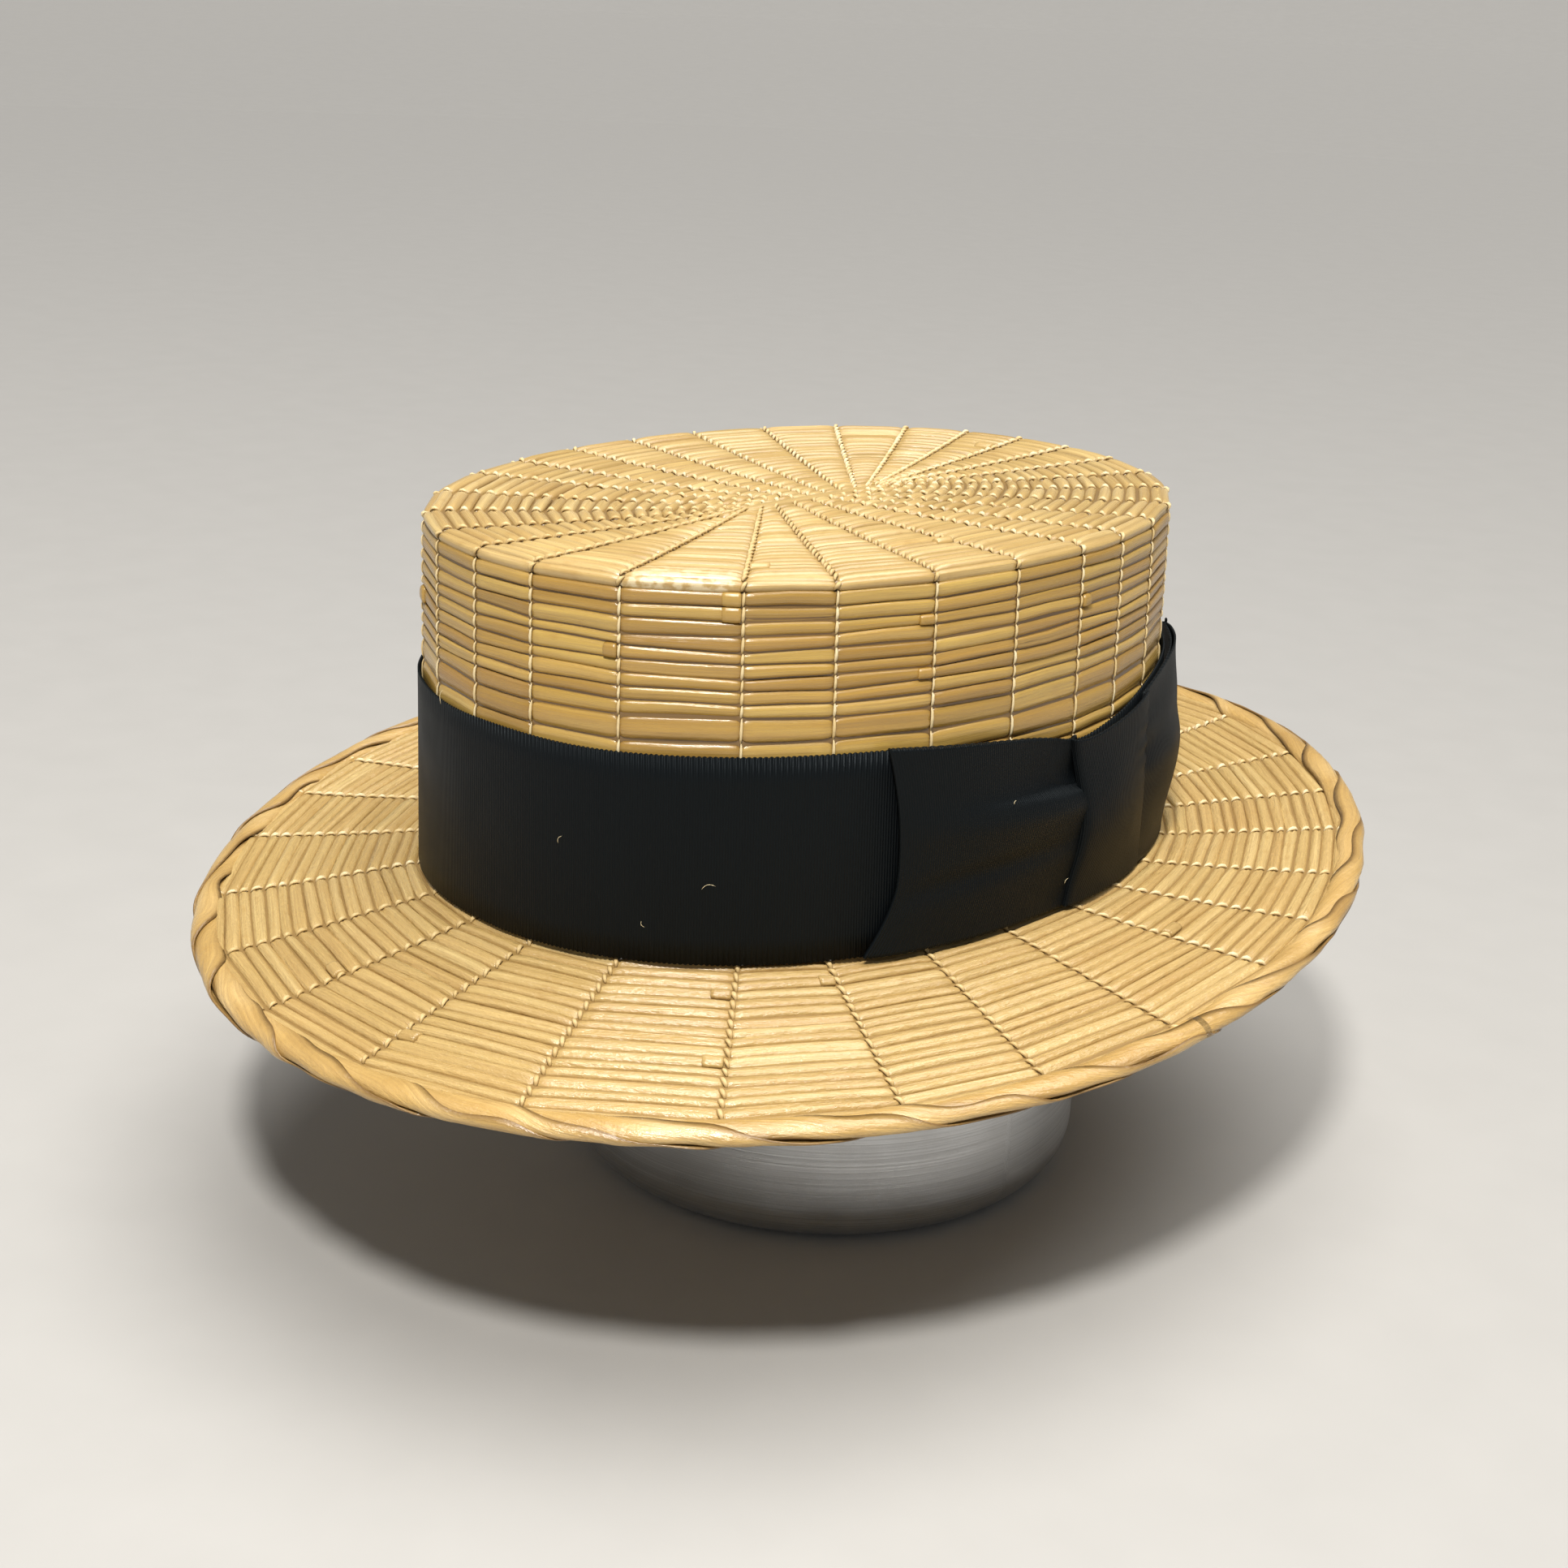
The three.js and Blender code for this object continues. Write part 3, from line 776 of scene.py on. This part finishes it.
def bow_layer(folds, relief, foot_trail=0.0):
    """
    Points of a bow piece's outer layer as (columns, rows): angle, stand-off and height. The lower corner
    of its first end trails off by foot_trail degrees.
    """
    table = fold_table(folds, BOW_COLUMNS)
    share = np.linspace(0, 1, BOW_ROWS)
    bend = (2 * share - 1) ** 2
    trail = np.clip(1 - 3 * share, 0, 1) ** 1.5 * np.linspace(foot_trail, 0, BOW_COLUMNS)[:, None]
    degrees = table[:, :1] + table[:, 1:2] * bend + trail
    ends = np.where(share < 0.5, table[:, 2:3], table[:, 4:5])
    blend = np.abs(2 * share - 1)
    blend = blend**2 * (3 - 2 * blend)
    proud = table[:, 3:4] * (1 - blend) + ends * blend
    proud = proud + relief(np.linspace(0, 1, BOW_COLUMNS)[:, None], share)
    edge = picot(BOW_COLUMNS, 0.2)[:, None]
    low, high = BOW_LOW - edge, BOW_HIGH + edge - ribbon_fall(table[:, :1])
    return degrees, proud, low + (high - low) * share


def grid_normals(grid):
    """Unit normals of a grid of points."""
    return unit(np.cross(np.gradient(grid, axis=0), np.gradient(grid, axis=1)))


def bow_sheet(pile, folds, relief, closed_at, foot_trail=0.0):
    """
    One loop of the flat bow: an outer layer over an inner one that lies on the band, joined by a
    round fold at the end named by closed_at (0 is its first column, 1 its last).
    """
    degrees, proud, height = bow_layer(folds, relief, foot_trail)
    outer = crown_outside(degrees, BOW_BASE + proud, height)
    under = crown_outside(degrees, BOW_BASE + np.minimum(BOW_UNDER, proud - 0.2), height)
    if closed_at == 0:
        outer, under, height = outer[::-1], under[::-1], height[::-1]
    run = np.concatenate([outer, under[::-1]], axis=0)
    inner = run + grid_normals(run) * (RIBBON_THICKNESS if closed_at == 0 else -RIBBON_THICKNESS)
    length = run_lengths(run[:, BOW_ROWS // 2])[:, None]
    heights = np.concatenate([height, height[::-1]], axis=0)
    ribbon_sheet(pile, run, inner, length, heights)


def front_relief(place, share):
    """
    The gathers of the front loop. At the knot the ribbon is folded in three, so the lower panel laps
    over the upper one in a soft ridge that fades away towards the loop's end.
    """
    near_knot = np.clip((place - 0.3) / 0.6, 0, 1) ** 1.3
    lap = 0.73 - 0.03 * np.sin(place * math.pi) - 0.03 * (1 - place)
    step = 1 / (1 + np.exp((share - lap) * 160))
    recess = np.exp(-(((share - lap - 0.02) / 0.17) ** 2)) * (1 - step)
    crest = np.exp(-(((share - lap + 0.09) / 0.1) ** 2)) * np.sin(np.minimum(place * 1.6, 1.9))
    valley = np.exp(-(((share - 0.27 - 0.16 * place) / 0.06) ** 2)) * np.sin(place * math.pi)
    pocket = np.clip((place - 0.88) / 0.12, 0, 1) * (2 * share - 1) ** 4
    return -2.6 * near_knot * recess + 1.5 * crest - 0.9 * valley - 1.5 * pocket


def knot_relief(place, share):
    """A few creases run from the knot's rear seam, and its face sags a little."""
    creases = np.sin(share * 60 + place * 5) * np.clip((place - 0.72) / 0.28, 0, 1)
    gathered = np.exp(-(((share - 0.72) / 0.14) ** 2))
    return -0.3 * creases * gathered - 0.15 * np.sin(share * 9 + place * 3)


def back_relief(place, share):
    """The gathers of the back loop beside the knot, and the sag of its upper half."""
    near_knot = np.clip(1 - place / 0.55, 0, 1) ** 1.4
    creases = np.sin(share * 26 + 2 * place)
    gathered = np.exp(-(((share - 0.68) / 0.2) ** 2))
    sag = np.exp(-(((share - 0.8 + 0.25 * place) / 0.09) ** 2)) * np.sin(place * math.pi)
    return 0.4 * near_knot * creases * gathered - 0.6 * sag


def front_loop(pile):
    bow_sheet(pile, FRONT_FOLDS, front_relief, closed_at=0, foot_trail=-2.6)


def back_loop(pile):
    bow_sheet(pile, BACK_FOLDS, back_relief, closed_at=1)


def bow_wrap(pile):
    """The knot: one layer of ribbon wrapped over the bow, turned in at its front edge."""
    degrees, proud, height = bow_layer(KNOT_FOLDS, knot_relief)
    outer = crown_outside(degrees, BOW_BASE + proud, height)
    inner = outer - grid_normals(outer) * RIBBON_THICKNESS
    ribbon_sheet(pile, outer, inner, run_lengths(outer[:, BOW_ROWS // 2])[:, None], height)


# ---- Loose threads ----

# A fibre's angle round the crown, height, length, lean in degrees, thickness and distance off the straw.
Hair = namedtuple("Hair", "degrees height length lean radius stand_off")
LINT = [
    Hair(-101, 49, 4.0, 70, 0.07, 1.1),
    Hair(-50, 19, 3.2, 15, 0.05, 1.0),
    Hair(-72, 26, 2.2, 60, 0.05, 1.0),
    Hair(-58, 9, 1.6, 120, 0.05, 1.0),
    Hair(-7, 33, 1.0, 60, 0.06, 5.5),
    Hair(4, 8, 1.6, 40, 0.05, 4.6),
    Hair(118, 30, 2.6, 35, 0.05, 1.0),
    Hair(201, 22, 2.0, 80, 0.05, 1.0),
]
LOOSE_ENDS = [
    Hair(54.3, 13, 2.0, 20, 0.22, 4.2),
    Hair(56.2, 51, 1.2, 80, 0.4, 3.0),
    Hair(-25.8, 2.5, 2.0, 195, 0.15, 3.2),
]


def hairs(table, pile):
    """Short curved fibres lying on the ribbon."""
    share = np.linspace(0, 1, 7)
    turn = np.arange(5) * 2 * math.pi / 5
    for hair in table:
        lean = math.radians(hair.lean)
        curl = 0.25 * hair.length * np.sin(share * math.pi)
        sideways = (share * math.cos(lean) * hair.length - curl * math.sin(lean)) / 1.6
        upwards = share * math.sin(lean) * hair.length + curl * math.cos(lean)
        path = crown_outside(hair.degrees + sideways, hair.stand_off + 0.1 * curl, hair.height + upwards)
        ahead = unit(np.gradient(path, axis=0))
        flat = np.broadcast_to(unit(path[0] * (1, 1, 0)), path.shape)
        side = unit(np.cross(ahead, flat))
        other = np.cross(side, ahead)
        size = hair.radius * np.array([0.5, 1, 1, 1, 1, 0.9, 0.4])[:, None, None]
        ring = np.cos(turn)[:, None] * side[:, None, :] + np.sin(turn)[:, None] * other[:, None, :]
        points = path[:, None, :] + ring * size
        pile.add_tubes(points[None], np.zeros((1, *points.shape[:2], 2)), tone=1.0)


# ---- Stand ----

STAND_WALL = 1.5
STAND_CORNER = 12
STAND_RADIUS = STAND_FOOT_RADIUS - 3  # above the shoulder
STAND_SHOULDER = (60, 74)  # heights between which it narrows
STAND_SIDES = 192


def stand_profile(radius):
    """The rounded foot of the drum, as distances from its axis and heights."""
    turn = np.linspace(0, math.pi / 2, 14)
    return [
        (STAND_FOOT_RADIUS - STAND_CORNER + radius * math.sin(t), STAND_CORNER - radius * math.cos(t))
        for t in turn
    ]


def spun_stand(pile):
    """The drum, turned from one profile: foot, wall, rolled rim and inside."""
    top = stand_high[2]
    rim = [
        (STAND_RADIUS, top - 0.5),
        (STAND_RADIUS - 0.3, top - 0.1),
        (STAND_RADIUS - STAND_WALL / 2, top),
        (STAND_RADIUS - STAND_WALL + 0.3, top - 0.1),
        (STAND_RADIUS - STAND_WALL, top - 0.5),
    ]
    foot = [(0.02, 0), (2, 0), (12, 0), (STAND_RADIUS * 0.5, 0)] + stand_profile(STAND_CORNER)
    inside = stand_profile(STAND_CORNER - STAND_WALL)[::-1] + [(0.02, STAND_WALL)]
    narrowing = np.linspace(STAND_FOOT_RADIUS, STAND_RADIUS, 8)
    shoulder = list(zip(narrowing, np.linspace(*STAND_SHOULDER, 8)))
    walls = [(STAND_FOOT_RADIUS, z) for z in np.linspace(STAND_CORNER + 6, STAND_SHOULDER[0] - 4, 6)]
    walls += shoulder + [(STAND_RADIUS, z) for z in np.linspace(STAND_SHOULDER[1] + 4, top - 8, 8)]
    lining = [(r - STAND_WALL, z) for r, z in shoulder[::-1]]
    profile = np.array(foot + walls + rim + lining + inside)
    turn = np.linspace(0, 2 * math.pi, STAND_SIDES, endpoint=False)
    x = STAND_CENTRE[0] + np.cos(turn)[:, None] * profile[:, 0]
    y = STAND_CENTRE[1] + np.sin(turn)[:, None] * profile[:, 0]
    points = joined(x, y, profile[:, 1])
    uv = joined(turn[:, None] * STAND_RADIUS, run_lengths(profile))
    pile.add_tubes(points[None], uv[None], ring=True)


# ---- Materials ----


class Nodes:
    """Short names for the nodes that the materials are made of."""

    def __init__(self, name):
        self.material = bpy.data.materials.new(name)
        self.material.use_nodes = True
        self.tree = self.material.node_tree
        self.shader = self.tree.nodes["Principled BSDF"]

    def new(self, kind, **settings):
        node = self.tree.nodes.new(kind)
        for key, value in settings.items():
            setattr(node, key, value)
        return node

    def link(self, source, target):
        self.tree.links.new(source, target)

    def put(self, socket, value):
        """Sets a socket to another node's output, a number or a colour."""
        if isinstance(value, bpy.types.NodeSocket):
            self.link(value, socket)
        else:
            socket.default_value = (*value, 1) if isinstance(value, tuple) else value

    def set(self, name, value):
        """Sets one of the shader's own inputs."""
        self.put(self.shader.inputs[name], value)

    def coordinates(self, name):
        return self.new("ShaderNodeTexCoord").outputs[name]

    def attribute(self, name):
        return self.new("ShaderNodeAttribute", attribute_name=name).outputs["Fac"]

    def math(self, operation, a, b=0.0):
        node = self.new("ShaderNodeMath", operation=operation)
        self.put(node.inputs[0], a)
        self.put(node.inputs[1], b)
        return node.outputs[0]

    def noise(self, vector, scale, detail, roughness=0.5):
        """The scale is one number, or three for the vector's axes."""
        if isinstance(scale, tuple):
            stretch = self.new("ShaderNodeVectorMath", operation="MULTIPLY")
            self.link(vector, stretch.inputs[0])
            stretch.inputs[1].default_value = scale
            vector, scale = stretch.outputs[0], 1.0
        node = self.new("ShaderNodeTexNoise")
        self.link(vector, node.inputs["Vector"])
        node.inputs["Scale"].default_value = scale
        node.inputs["Detail"].default_value = detail
        node.inputs["Roughness"].default_value = roughness
        return node.outputs["Fac"]

    def ramp(self, value, stops):
        node = self.new("ShaderNodeValToRGB")
        self.link(value, node.inputs[0])
        elements = node.color_ramp.elements
        while len(elements) < len(stops):
            elements.new(0.5)
        for element, (place, colour) in zip(elements, stops):
            element.position = place
            element.color = (*colour, 1)
        return node.outputs[0]

    def mix(self, share, a, b):
        node = self.new("ShaderNodeMix", data_type="RGBA")
        for index, value in ((0, share), (6, a), (7, b)):
            self.put(node.inputs[index], value)
        return node.outputs[2]

    def range(self, value, low, high, to_low, to_high):
        node = self.new("ShaderNodeMapRange")
        self.put(node.inputs[0], value)
        for socket, number in zip(node.inputs[1:5], (low, high, to_low, to_high)):
            socket.default_value = number
        return node.outputs[0]

    def bump(self, height, strength, distance=0.0002):
        node = self.new("ShaderNodeBump")
        node.inputs["Strength"].default_value = strength
        node.inputs["Distance"].default_value = distance
        self.link(height, node.inputs["Height"])
        return node.outputs["Normal"]


def straw_material(name, pale, mid, dark, relief, wrinkle, cracks):
    """Split straw: long fibres, uneven colour, painted shade in the gaps between the straws and a satin
    skin.
    """
    n = Nodes(name)
    uv = n.coordinates("UV")
    place = n.coordinates("Object")
    fibres = n.noise(uv, (0.05, 2.6, 1), 4.0, 0.65)
    streaks = n.noise(uv, (0.02, 0.7, 1), 2.0)
    blotches = n.noise(uv, (0.16, 0.3, 1), 3.0)
    drift = n.noise(place, 18.0, 2.0)
    tone = n.math("MULTIPLY", n.attribute("tone"), 0.55)
    tone = n.math("ADD", tone, n.math("MULTIPLY", streaks, 0.5))
    base = n.ramp(tone, [(0.12, dark), (0.5, mid), (0.85, pale)])
    warm = n.mix(n.math("MULTIPLY", n.attribute("hue"), 0.22), base, (0.50, 0.27, 0.085))
    brown = n.mix(n.range(blotches, 0.58, 0.78, 0, 0.45), warm, (0.40, 0.22, 0.055))
    wide = n.mix(n.range(drift, 0.3, 0.7, 0.0, 0.25), brown, (0.47, 0.34, 0.12))
    lined = n.mix(n.range(fibres, 0.35, 0.62, 0.42, 0.0), wide, (0.30, 0.17, 0.05))
    # Painted shade: darkened towards a deep brown in the gaps between straws, on their flanks and at their
    # pinched ends.
    with_crack_shade = n.mix(n.math("MULTIPLY", n.attribute("grime"), cracks), lined, (0.12, 0.058, 0.014))
    rubbed = n.noise(place, 420.0, 3.0)
    rub = n.math("MULTIPLY", n.attribute("wear"), n.range(rubbed, 0.42, 0.56, 0, 1))
    colour = n.mix(n.math("MULTIPLY", rub, 0.6), with_crack_shade, (0.80, 0.70, 0.47))
    n.set("Base Color", colour)
    n.set("Roughness", n.range(fibres, 0.3, 0.7, 0.37, 0.2))
    wrinkles = n.noise(uv, (0.35, 1.1, 1), 3.0, 0.6)
    height = n.math("ADD", n.math("MULTIPLY", fibres, 0.7), n.math("MULTIPLY", streaks, 0.6))
    height = n.math("ADD", height, n.math("MULTIPLY", wrinkles, wrinkle))
    n.set("Normal", n.bump(height, relief, 0.00022))
    n.set("Specular IOR Level", 0.8)
    return n.material


def thread_material():
    n = Nodes("straw_thread")
    twist = n.noise(n.coordinates("UV"), (1.2, 2.8, 2), 3.0)
    dark, mid, pale = (0.50, 0.33, 0.11), (0.78, 0.61, 0.31), (0.90, 0.78, 0.50)
    base = n.ramp(n.attribute("tone"), [(0.0, dark), (0.6, mid), (1.0, pale)])
    # Painted shade where the stitch sinks into the straw.
    shaded = n.mix(n.math("MULTIPLY", n.attribute("grime"), 0.5), base, (0.22, 0.12, 0.04))
    colour = n.mix(n.range(twist, 0.3, 0.7, 0.25, 0.0), shaded, (0.36, 0.22, 0.08))
    n.set("Base Color", colour)
    n.set("Roughness", 0.48)
    n.set("Normal", n.bump(twist, 0.5))
    return n.material


def ribbon_material():
    """Black grosgrain: fine upright ribs with painted shade in the grooves between them, a dull blue-green
    black and a little dust.
    """
    n = Nodes("grosgrain")
    uv = n.coordinates("UV")
    split = n.new("ShaderNodeSeparateXYZ")
    n.link(uv, split.inputs[0])
    ridge = n.math("ABSOLUTE", n.math("SINE", n.math("MULTIPLY", split.outputs[0], math.pi / GRAIN_PITCH)))
    thread = n.noise(uv, (1.25, 9.0, 1), 2.0)
    cloud = n.noise(uv, (0.05, 0.05, 1), 3.0)
    base = n.mix(cloud, (0.0022, 0.0034, 0.0043), (0.0042, 0.0056, 0.0066))
    # Painted shade in the grooves between the ribs.
    groove_shaded = n.mix(n.range(ridge, 0.0, 0.7, 0.6, 0.0), base, (0.003, 0.0035, 0.004))
    dust = n.noise(uv, (1.6, 1.6, 1), 4.0, 0.7)
    colour = n.mix(n.range(dust, 0.72, 0.8, 0, 0.35), groove_shaded, (0.10, 0.10, 0.10))
    n.set("Base Color", colour)
    n.set("Roughness", n.range(cloud, 0.3, 0.7, 0.42, 0.52))
    n.set("Specular IOR Level", 0.14)
    n.set("Specular Tint", (0.8, 0.92, 1.0))
    height = n.math("ADD", ridge, n.math("MULTIPLY", thread, 0.35))
    n.set("Normal", n.bump(height, 0.6, 0.00022))
    return n.material


def metal_material():
    """Spun aluminium: fine lines round the drum, smears and small scratches."""
    n = Nodes("spun_aluminium")
    uv = n.coordinates("UV")
    lines = n.noise(uv, (0.012, 2.2, 1), 5.0, 0.7)
    bands = n.noise(uv, (0.002, 0.16, 1), 3.0)
    smear = n.noise(uv, (0.05, 0.04, 1), 4.0)
    base = n.mix(n.range(bands, 0.3, 0.7, 0.0, 1.0), (0.56, 0.57, 0.58), (0.74, 0.75, 0.76))
    lined = n.mix(n.range(lines, 0.42, 0.62, 0.0, 0.55), base, (0.40, 0.40, 0.40))
    colour = n.mix(n.range(smear, 0.5, 0.75, 0, 0.4), lined, (0.47, 0.46, 0.45))
    n.set("Base Color", colour)
    n.set("Metallic", 1.0)
    shine = n.range(lines, 0.3, 0.7, 0.24, 0.38)
    n.set("Roughness", n.math("ADD", shine, n.range(smear, 0.4, 0.8, 0.0, 0.14)))
    n.set("Normal", n.bump(lines, 0.25))
    return n.material


# A straw's pale, middle and dark tones, how deep its fibres and its wrinkles are, and how deep the painted
# shade in the gaps between straws is.
StrawLook = namedtuple("StrawLook", "name pale mid dark relief wrinkle cracks")
STRAW_LOOKS = [
    # The wall's straw is a darker, browner copy of the tip's: painted shade, for the upright wall that gets
    # less light.
    StrawLook("shaded_wall_straw", (0.6, 0.415, 0.11), (0.455, 0.28, 0.055), (0.27, 0.145, 0.024), 0.55, 0.3, 0.68),
    StrawLook("straw", (0.78, 0.615, 0.3), (0.6, 0.435, 0.175), (0.37, 0.235, 0.075), 0.6, 0.3, 0.62),
    StrawLook("brim_straw", (0.75, 0.585, 0.28), (0.57, 0.405, 0.16), (0.34, 0.21, 0.066), 0.85, 2.2, 0.45),
    StrawLook("straw_edge", (0.72, 0.52, 0.23), (0.54, 0.355, 0.12), (0.3, 0.17, 0.048), 0.95, 1.6, 0.85),
]
SHADED_WALL_LOOK, TIP_LOOK, BRIM_LOOK, EDGE_LOOK = (straw_material(*look) for look in STRAW_LOOKS)
THREAD_LOOK = thread_material()
RIBBON_LOOK = ribbon_material()
METAL_LOOK = metal_material()


# ---- Pieces ----


def built(name, build, *finish):
    """One piece, from a function that fills a pile."""
    pile = Pile()
    build(pile)
    return piece(name, pile.mesh(name), *finish)


def woven(weave, name, look, replaces):
    """Straws and their backing, then the thread: two pieces."""
    straw = Pile()
    bounds = straws(weave, straw)
    splices(weave, bounds, straw)
    backing(weave, straw)
    if weave is TIP:
        seam_straw(straw)
    piece(name, straw.mesh(name), look, "straw", replaces)
    thread = Pile()
    stitches(weave, bounds, thread)
    stitches(weave, bounds, thread, inner=True)
    piece(f"{name}_stitches", thread.mesh(f"{name}_stitches"), THREAD_LOOK, "straw")


woven(WALL, "woven_wall", SHADED_WALL_LOOK, ["crown_wall"])
woven(TIP, "woven_tip", TIP_LOOK, ["crown_tip"])
woven(BRIM, "woven_brim", BRIM_LOOK, ["brim"])

built("twisted_edge", twisted_edge, EDGE_LOOK, "straw_edge", ["brim_edge"])

band_piece = built("grosgrain_band", ribbon_band, RIBBON_LOOK, "ribbon", ["ribbon_band"])

front_piece = built("bow_loop_front", front_loop, RIBBON_LOOK, "ribbon", ["bow_front_loop"])

back_piece = built("bow_loop_back", back_loop, RIBBON_LOOK, "ribbon", ["bow_back_loop"])

knot_piece = built("bow_wrap", bow_wrap, RIBBON_LOOK, "ribbon", ["bow_knot"])

built("lint", lambda pile: hairs(LINT, pile), THREAD_LOOK, "ribbon")
built("loose_threads", lambda pile: hairs(LOOSE_ENDS, pile), RIBBON_LOOK, "ribbon")
built("spun_stand", spun_stand, METAL_LOOK, "spun_metal", ["stand"])


# ---- Camera, floor and light ----

CAMERA_AZIMUTH = 45.1
CAMERA_ELEVATION = 16.5
CAMERA_DISTANCE = 599.5
CAMERA_TARGET_HEIGHT = 45.1  # over the brim's level
CAMERA_YAW = -0.38
CAMERA_PITCH = -3.08
CAMERA_ROLL = 2.54
CAMERA_LENS = 53.2


def direction(azimuth, elevation):
    """The way from the hat at those angles in degrees: azimuth 0 is its front, and 90 its bow's side."""
    across, up = math.radians(azimuth), math.radians(elevation)
    return Vector((math.sin(across) * math.cos(up), -math.cos(across) * math.cos(up), math.sin(up)))


def make_camera():
    back = direction(CAMERA_AZIMUTH, CAMERA_ELEVATION)
    right = Vector((0, 0, 1)).cross(back).normalized()
    basis = Matrix((right, back.cross(right), back)).transposed()
    aim = (
        Matrix.Rotation(-math.radians(CAMERA_YAW), 3, "Y")
        @ Matrix.Rotation(math.radians(CAMERA_PITCH), 3, "X")
        @ Matrix.Rotation(math.radians(CAMERA_ROLL), 3, "Z")
    )
    data = bpy.data.cameras.new("camera")
    data.sensor_width = 36
    data.lens = CAMERA_LENS
    data.clip_start, data.clip_end = 0.01, 60
    camera = bpy.data.objects.new("camera", data)
    target = Vector((0, 0, BRIM_LEVEL + CAMERA_TARGET_HEIGHT))
    camera.matrix_world = (
        Matrix.Translation((target + back * CAMERA_DISTANCE) * MM) @ (basis @ aim).to_4x4()
    )
    bpy.context.scene.collection.objects.link(camera)
    bpy.context.scene.camera = camera


# Radius and height, in metres, of the floor's rings: flat, then rising gently far away.
FLOOR_RINGS = [(0.0, 0.0), (4.0, 0.0), (6.0, 0.15), (7.5, 0.5), (8.5, 1.1)]
FLOOR_SIDES = 64


def make_floor():
    """A plain pale floor, whose far rim rises so that no horizon shows."""
    mesh = bpy.data.meshes.new("floor")
    turns = [2 * math.pi * side / FLOOR_SIDES for side in range(FLOOR_SIDES)]
    points = [(0, 0, 0)]
    points += [(r * math.cos(t), r * math.sin(t), z) for r, z in FLOOR_RINGS[1:] for t in turns]
    faces = [(0, 1 + side, 1 + (side + 1) % FLOOR_SIDES) for side in range(FLOOR_SIDES)]
    for ring in range(len(FLOOR_RINGS) - 2):
        for side in range(FLOOR_SIDES):
            here = 1 + ring * FLOOR_SIDES + side
            there = 1 + ring * FLOOR_SIDES + (side + 1) % FLOOR_SIDES
            faces.append((here, here + FLOOR_SIDES, there + FLOOR_SIDES, there))
    mesh.from_pydata(points, [], faces)
    floor = bpy.data.objects.new("floor", mesh)
    bpy.context.scene.collection.objects.link(floor)
    n = Nodes("floor")
    grain = n.noise(n.coordinates("Object"), 40.0, 3.0)
    n.set("Base Color", n.mix(grain, (0.40, 0.395, 0.385), (0.43, 0.425, 0.415)))
    n.set("Roughness", 0.6)
    mesh.materials.append(n.material)


LAMP_COLOUR = (1.0, 0.965, 0.91)
Lamp = namedtuple("Lamp", "name azimuth elevation distance size power")
LAMPS = [
    Lamp("key", 37.5, 54, 1.5, 0.2, 23),
    Lamp("fill", -50, 30, 2.2, 1.6, 3),
]


def make_lights():
    target = Vector((0, 0, 0.12))
    for lamp in LAMPS:
        back = direction(lamp.azimuth, lamp.elevation)
        data = bpy.data.lights.new(lamp.name, "AREA")
        data.shape = "DISK"
        data.size = lamp.size
        data.energy = lamp.power
        data.color = LAMP_COLOUR
        light = bpy.data.objects.new(lamp.name, data)
        light.location = target + back * lamp.distance
        light.rotation_mode = "QUATERNION"
        light.rotation_quaternion = back.to_track_quat("Z", "Y")
        bpy.context.scene.collection.objects.link(light)
    sky = bpy.data.lights.new("overhead", "SUN")
    sky.angle = math.radians(55)
    sky.energy = 3.1
    sky.color = LAMP_COLOUR
    above = bpy.data.objects.new("overhead", sky)
    above.rotation_euler = (math.radians(-10), math.radians(6), 0)
    bpy.context.scene.collection.objects.link(above)
    world = bpy.data.worlds.new("studio")
    world.use_nodes = True
    background = world.node_tree.nodes["Background"]
    background.inputs["Color"].default_value = (0.78, 0.79, 0.80, 1)
    background.inputs["Strength"].default_value = 0.2
    bpy.context.scene.world = world


make_camera()
make_floor()
make_lights()
bpy.context.scene.view_settings.view_transform = "Standard"
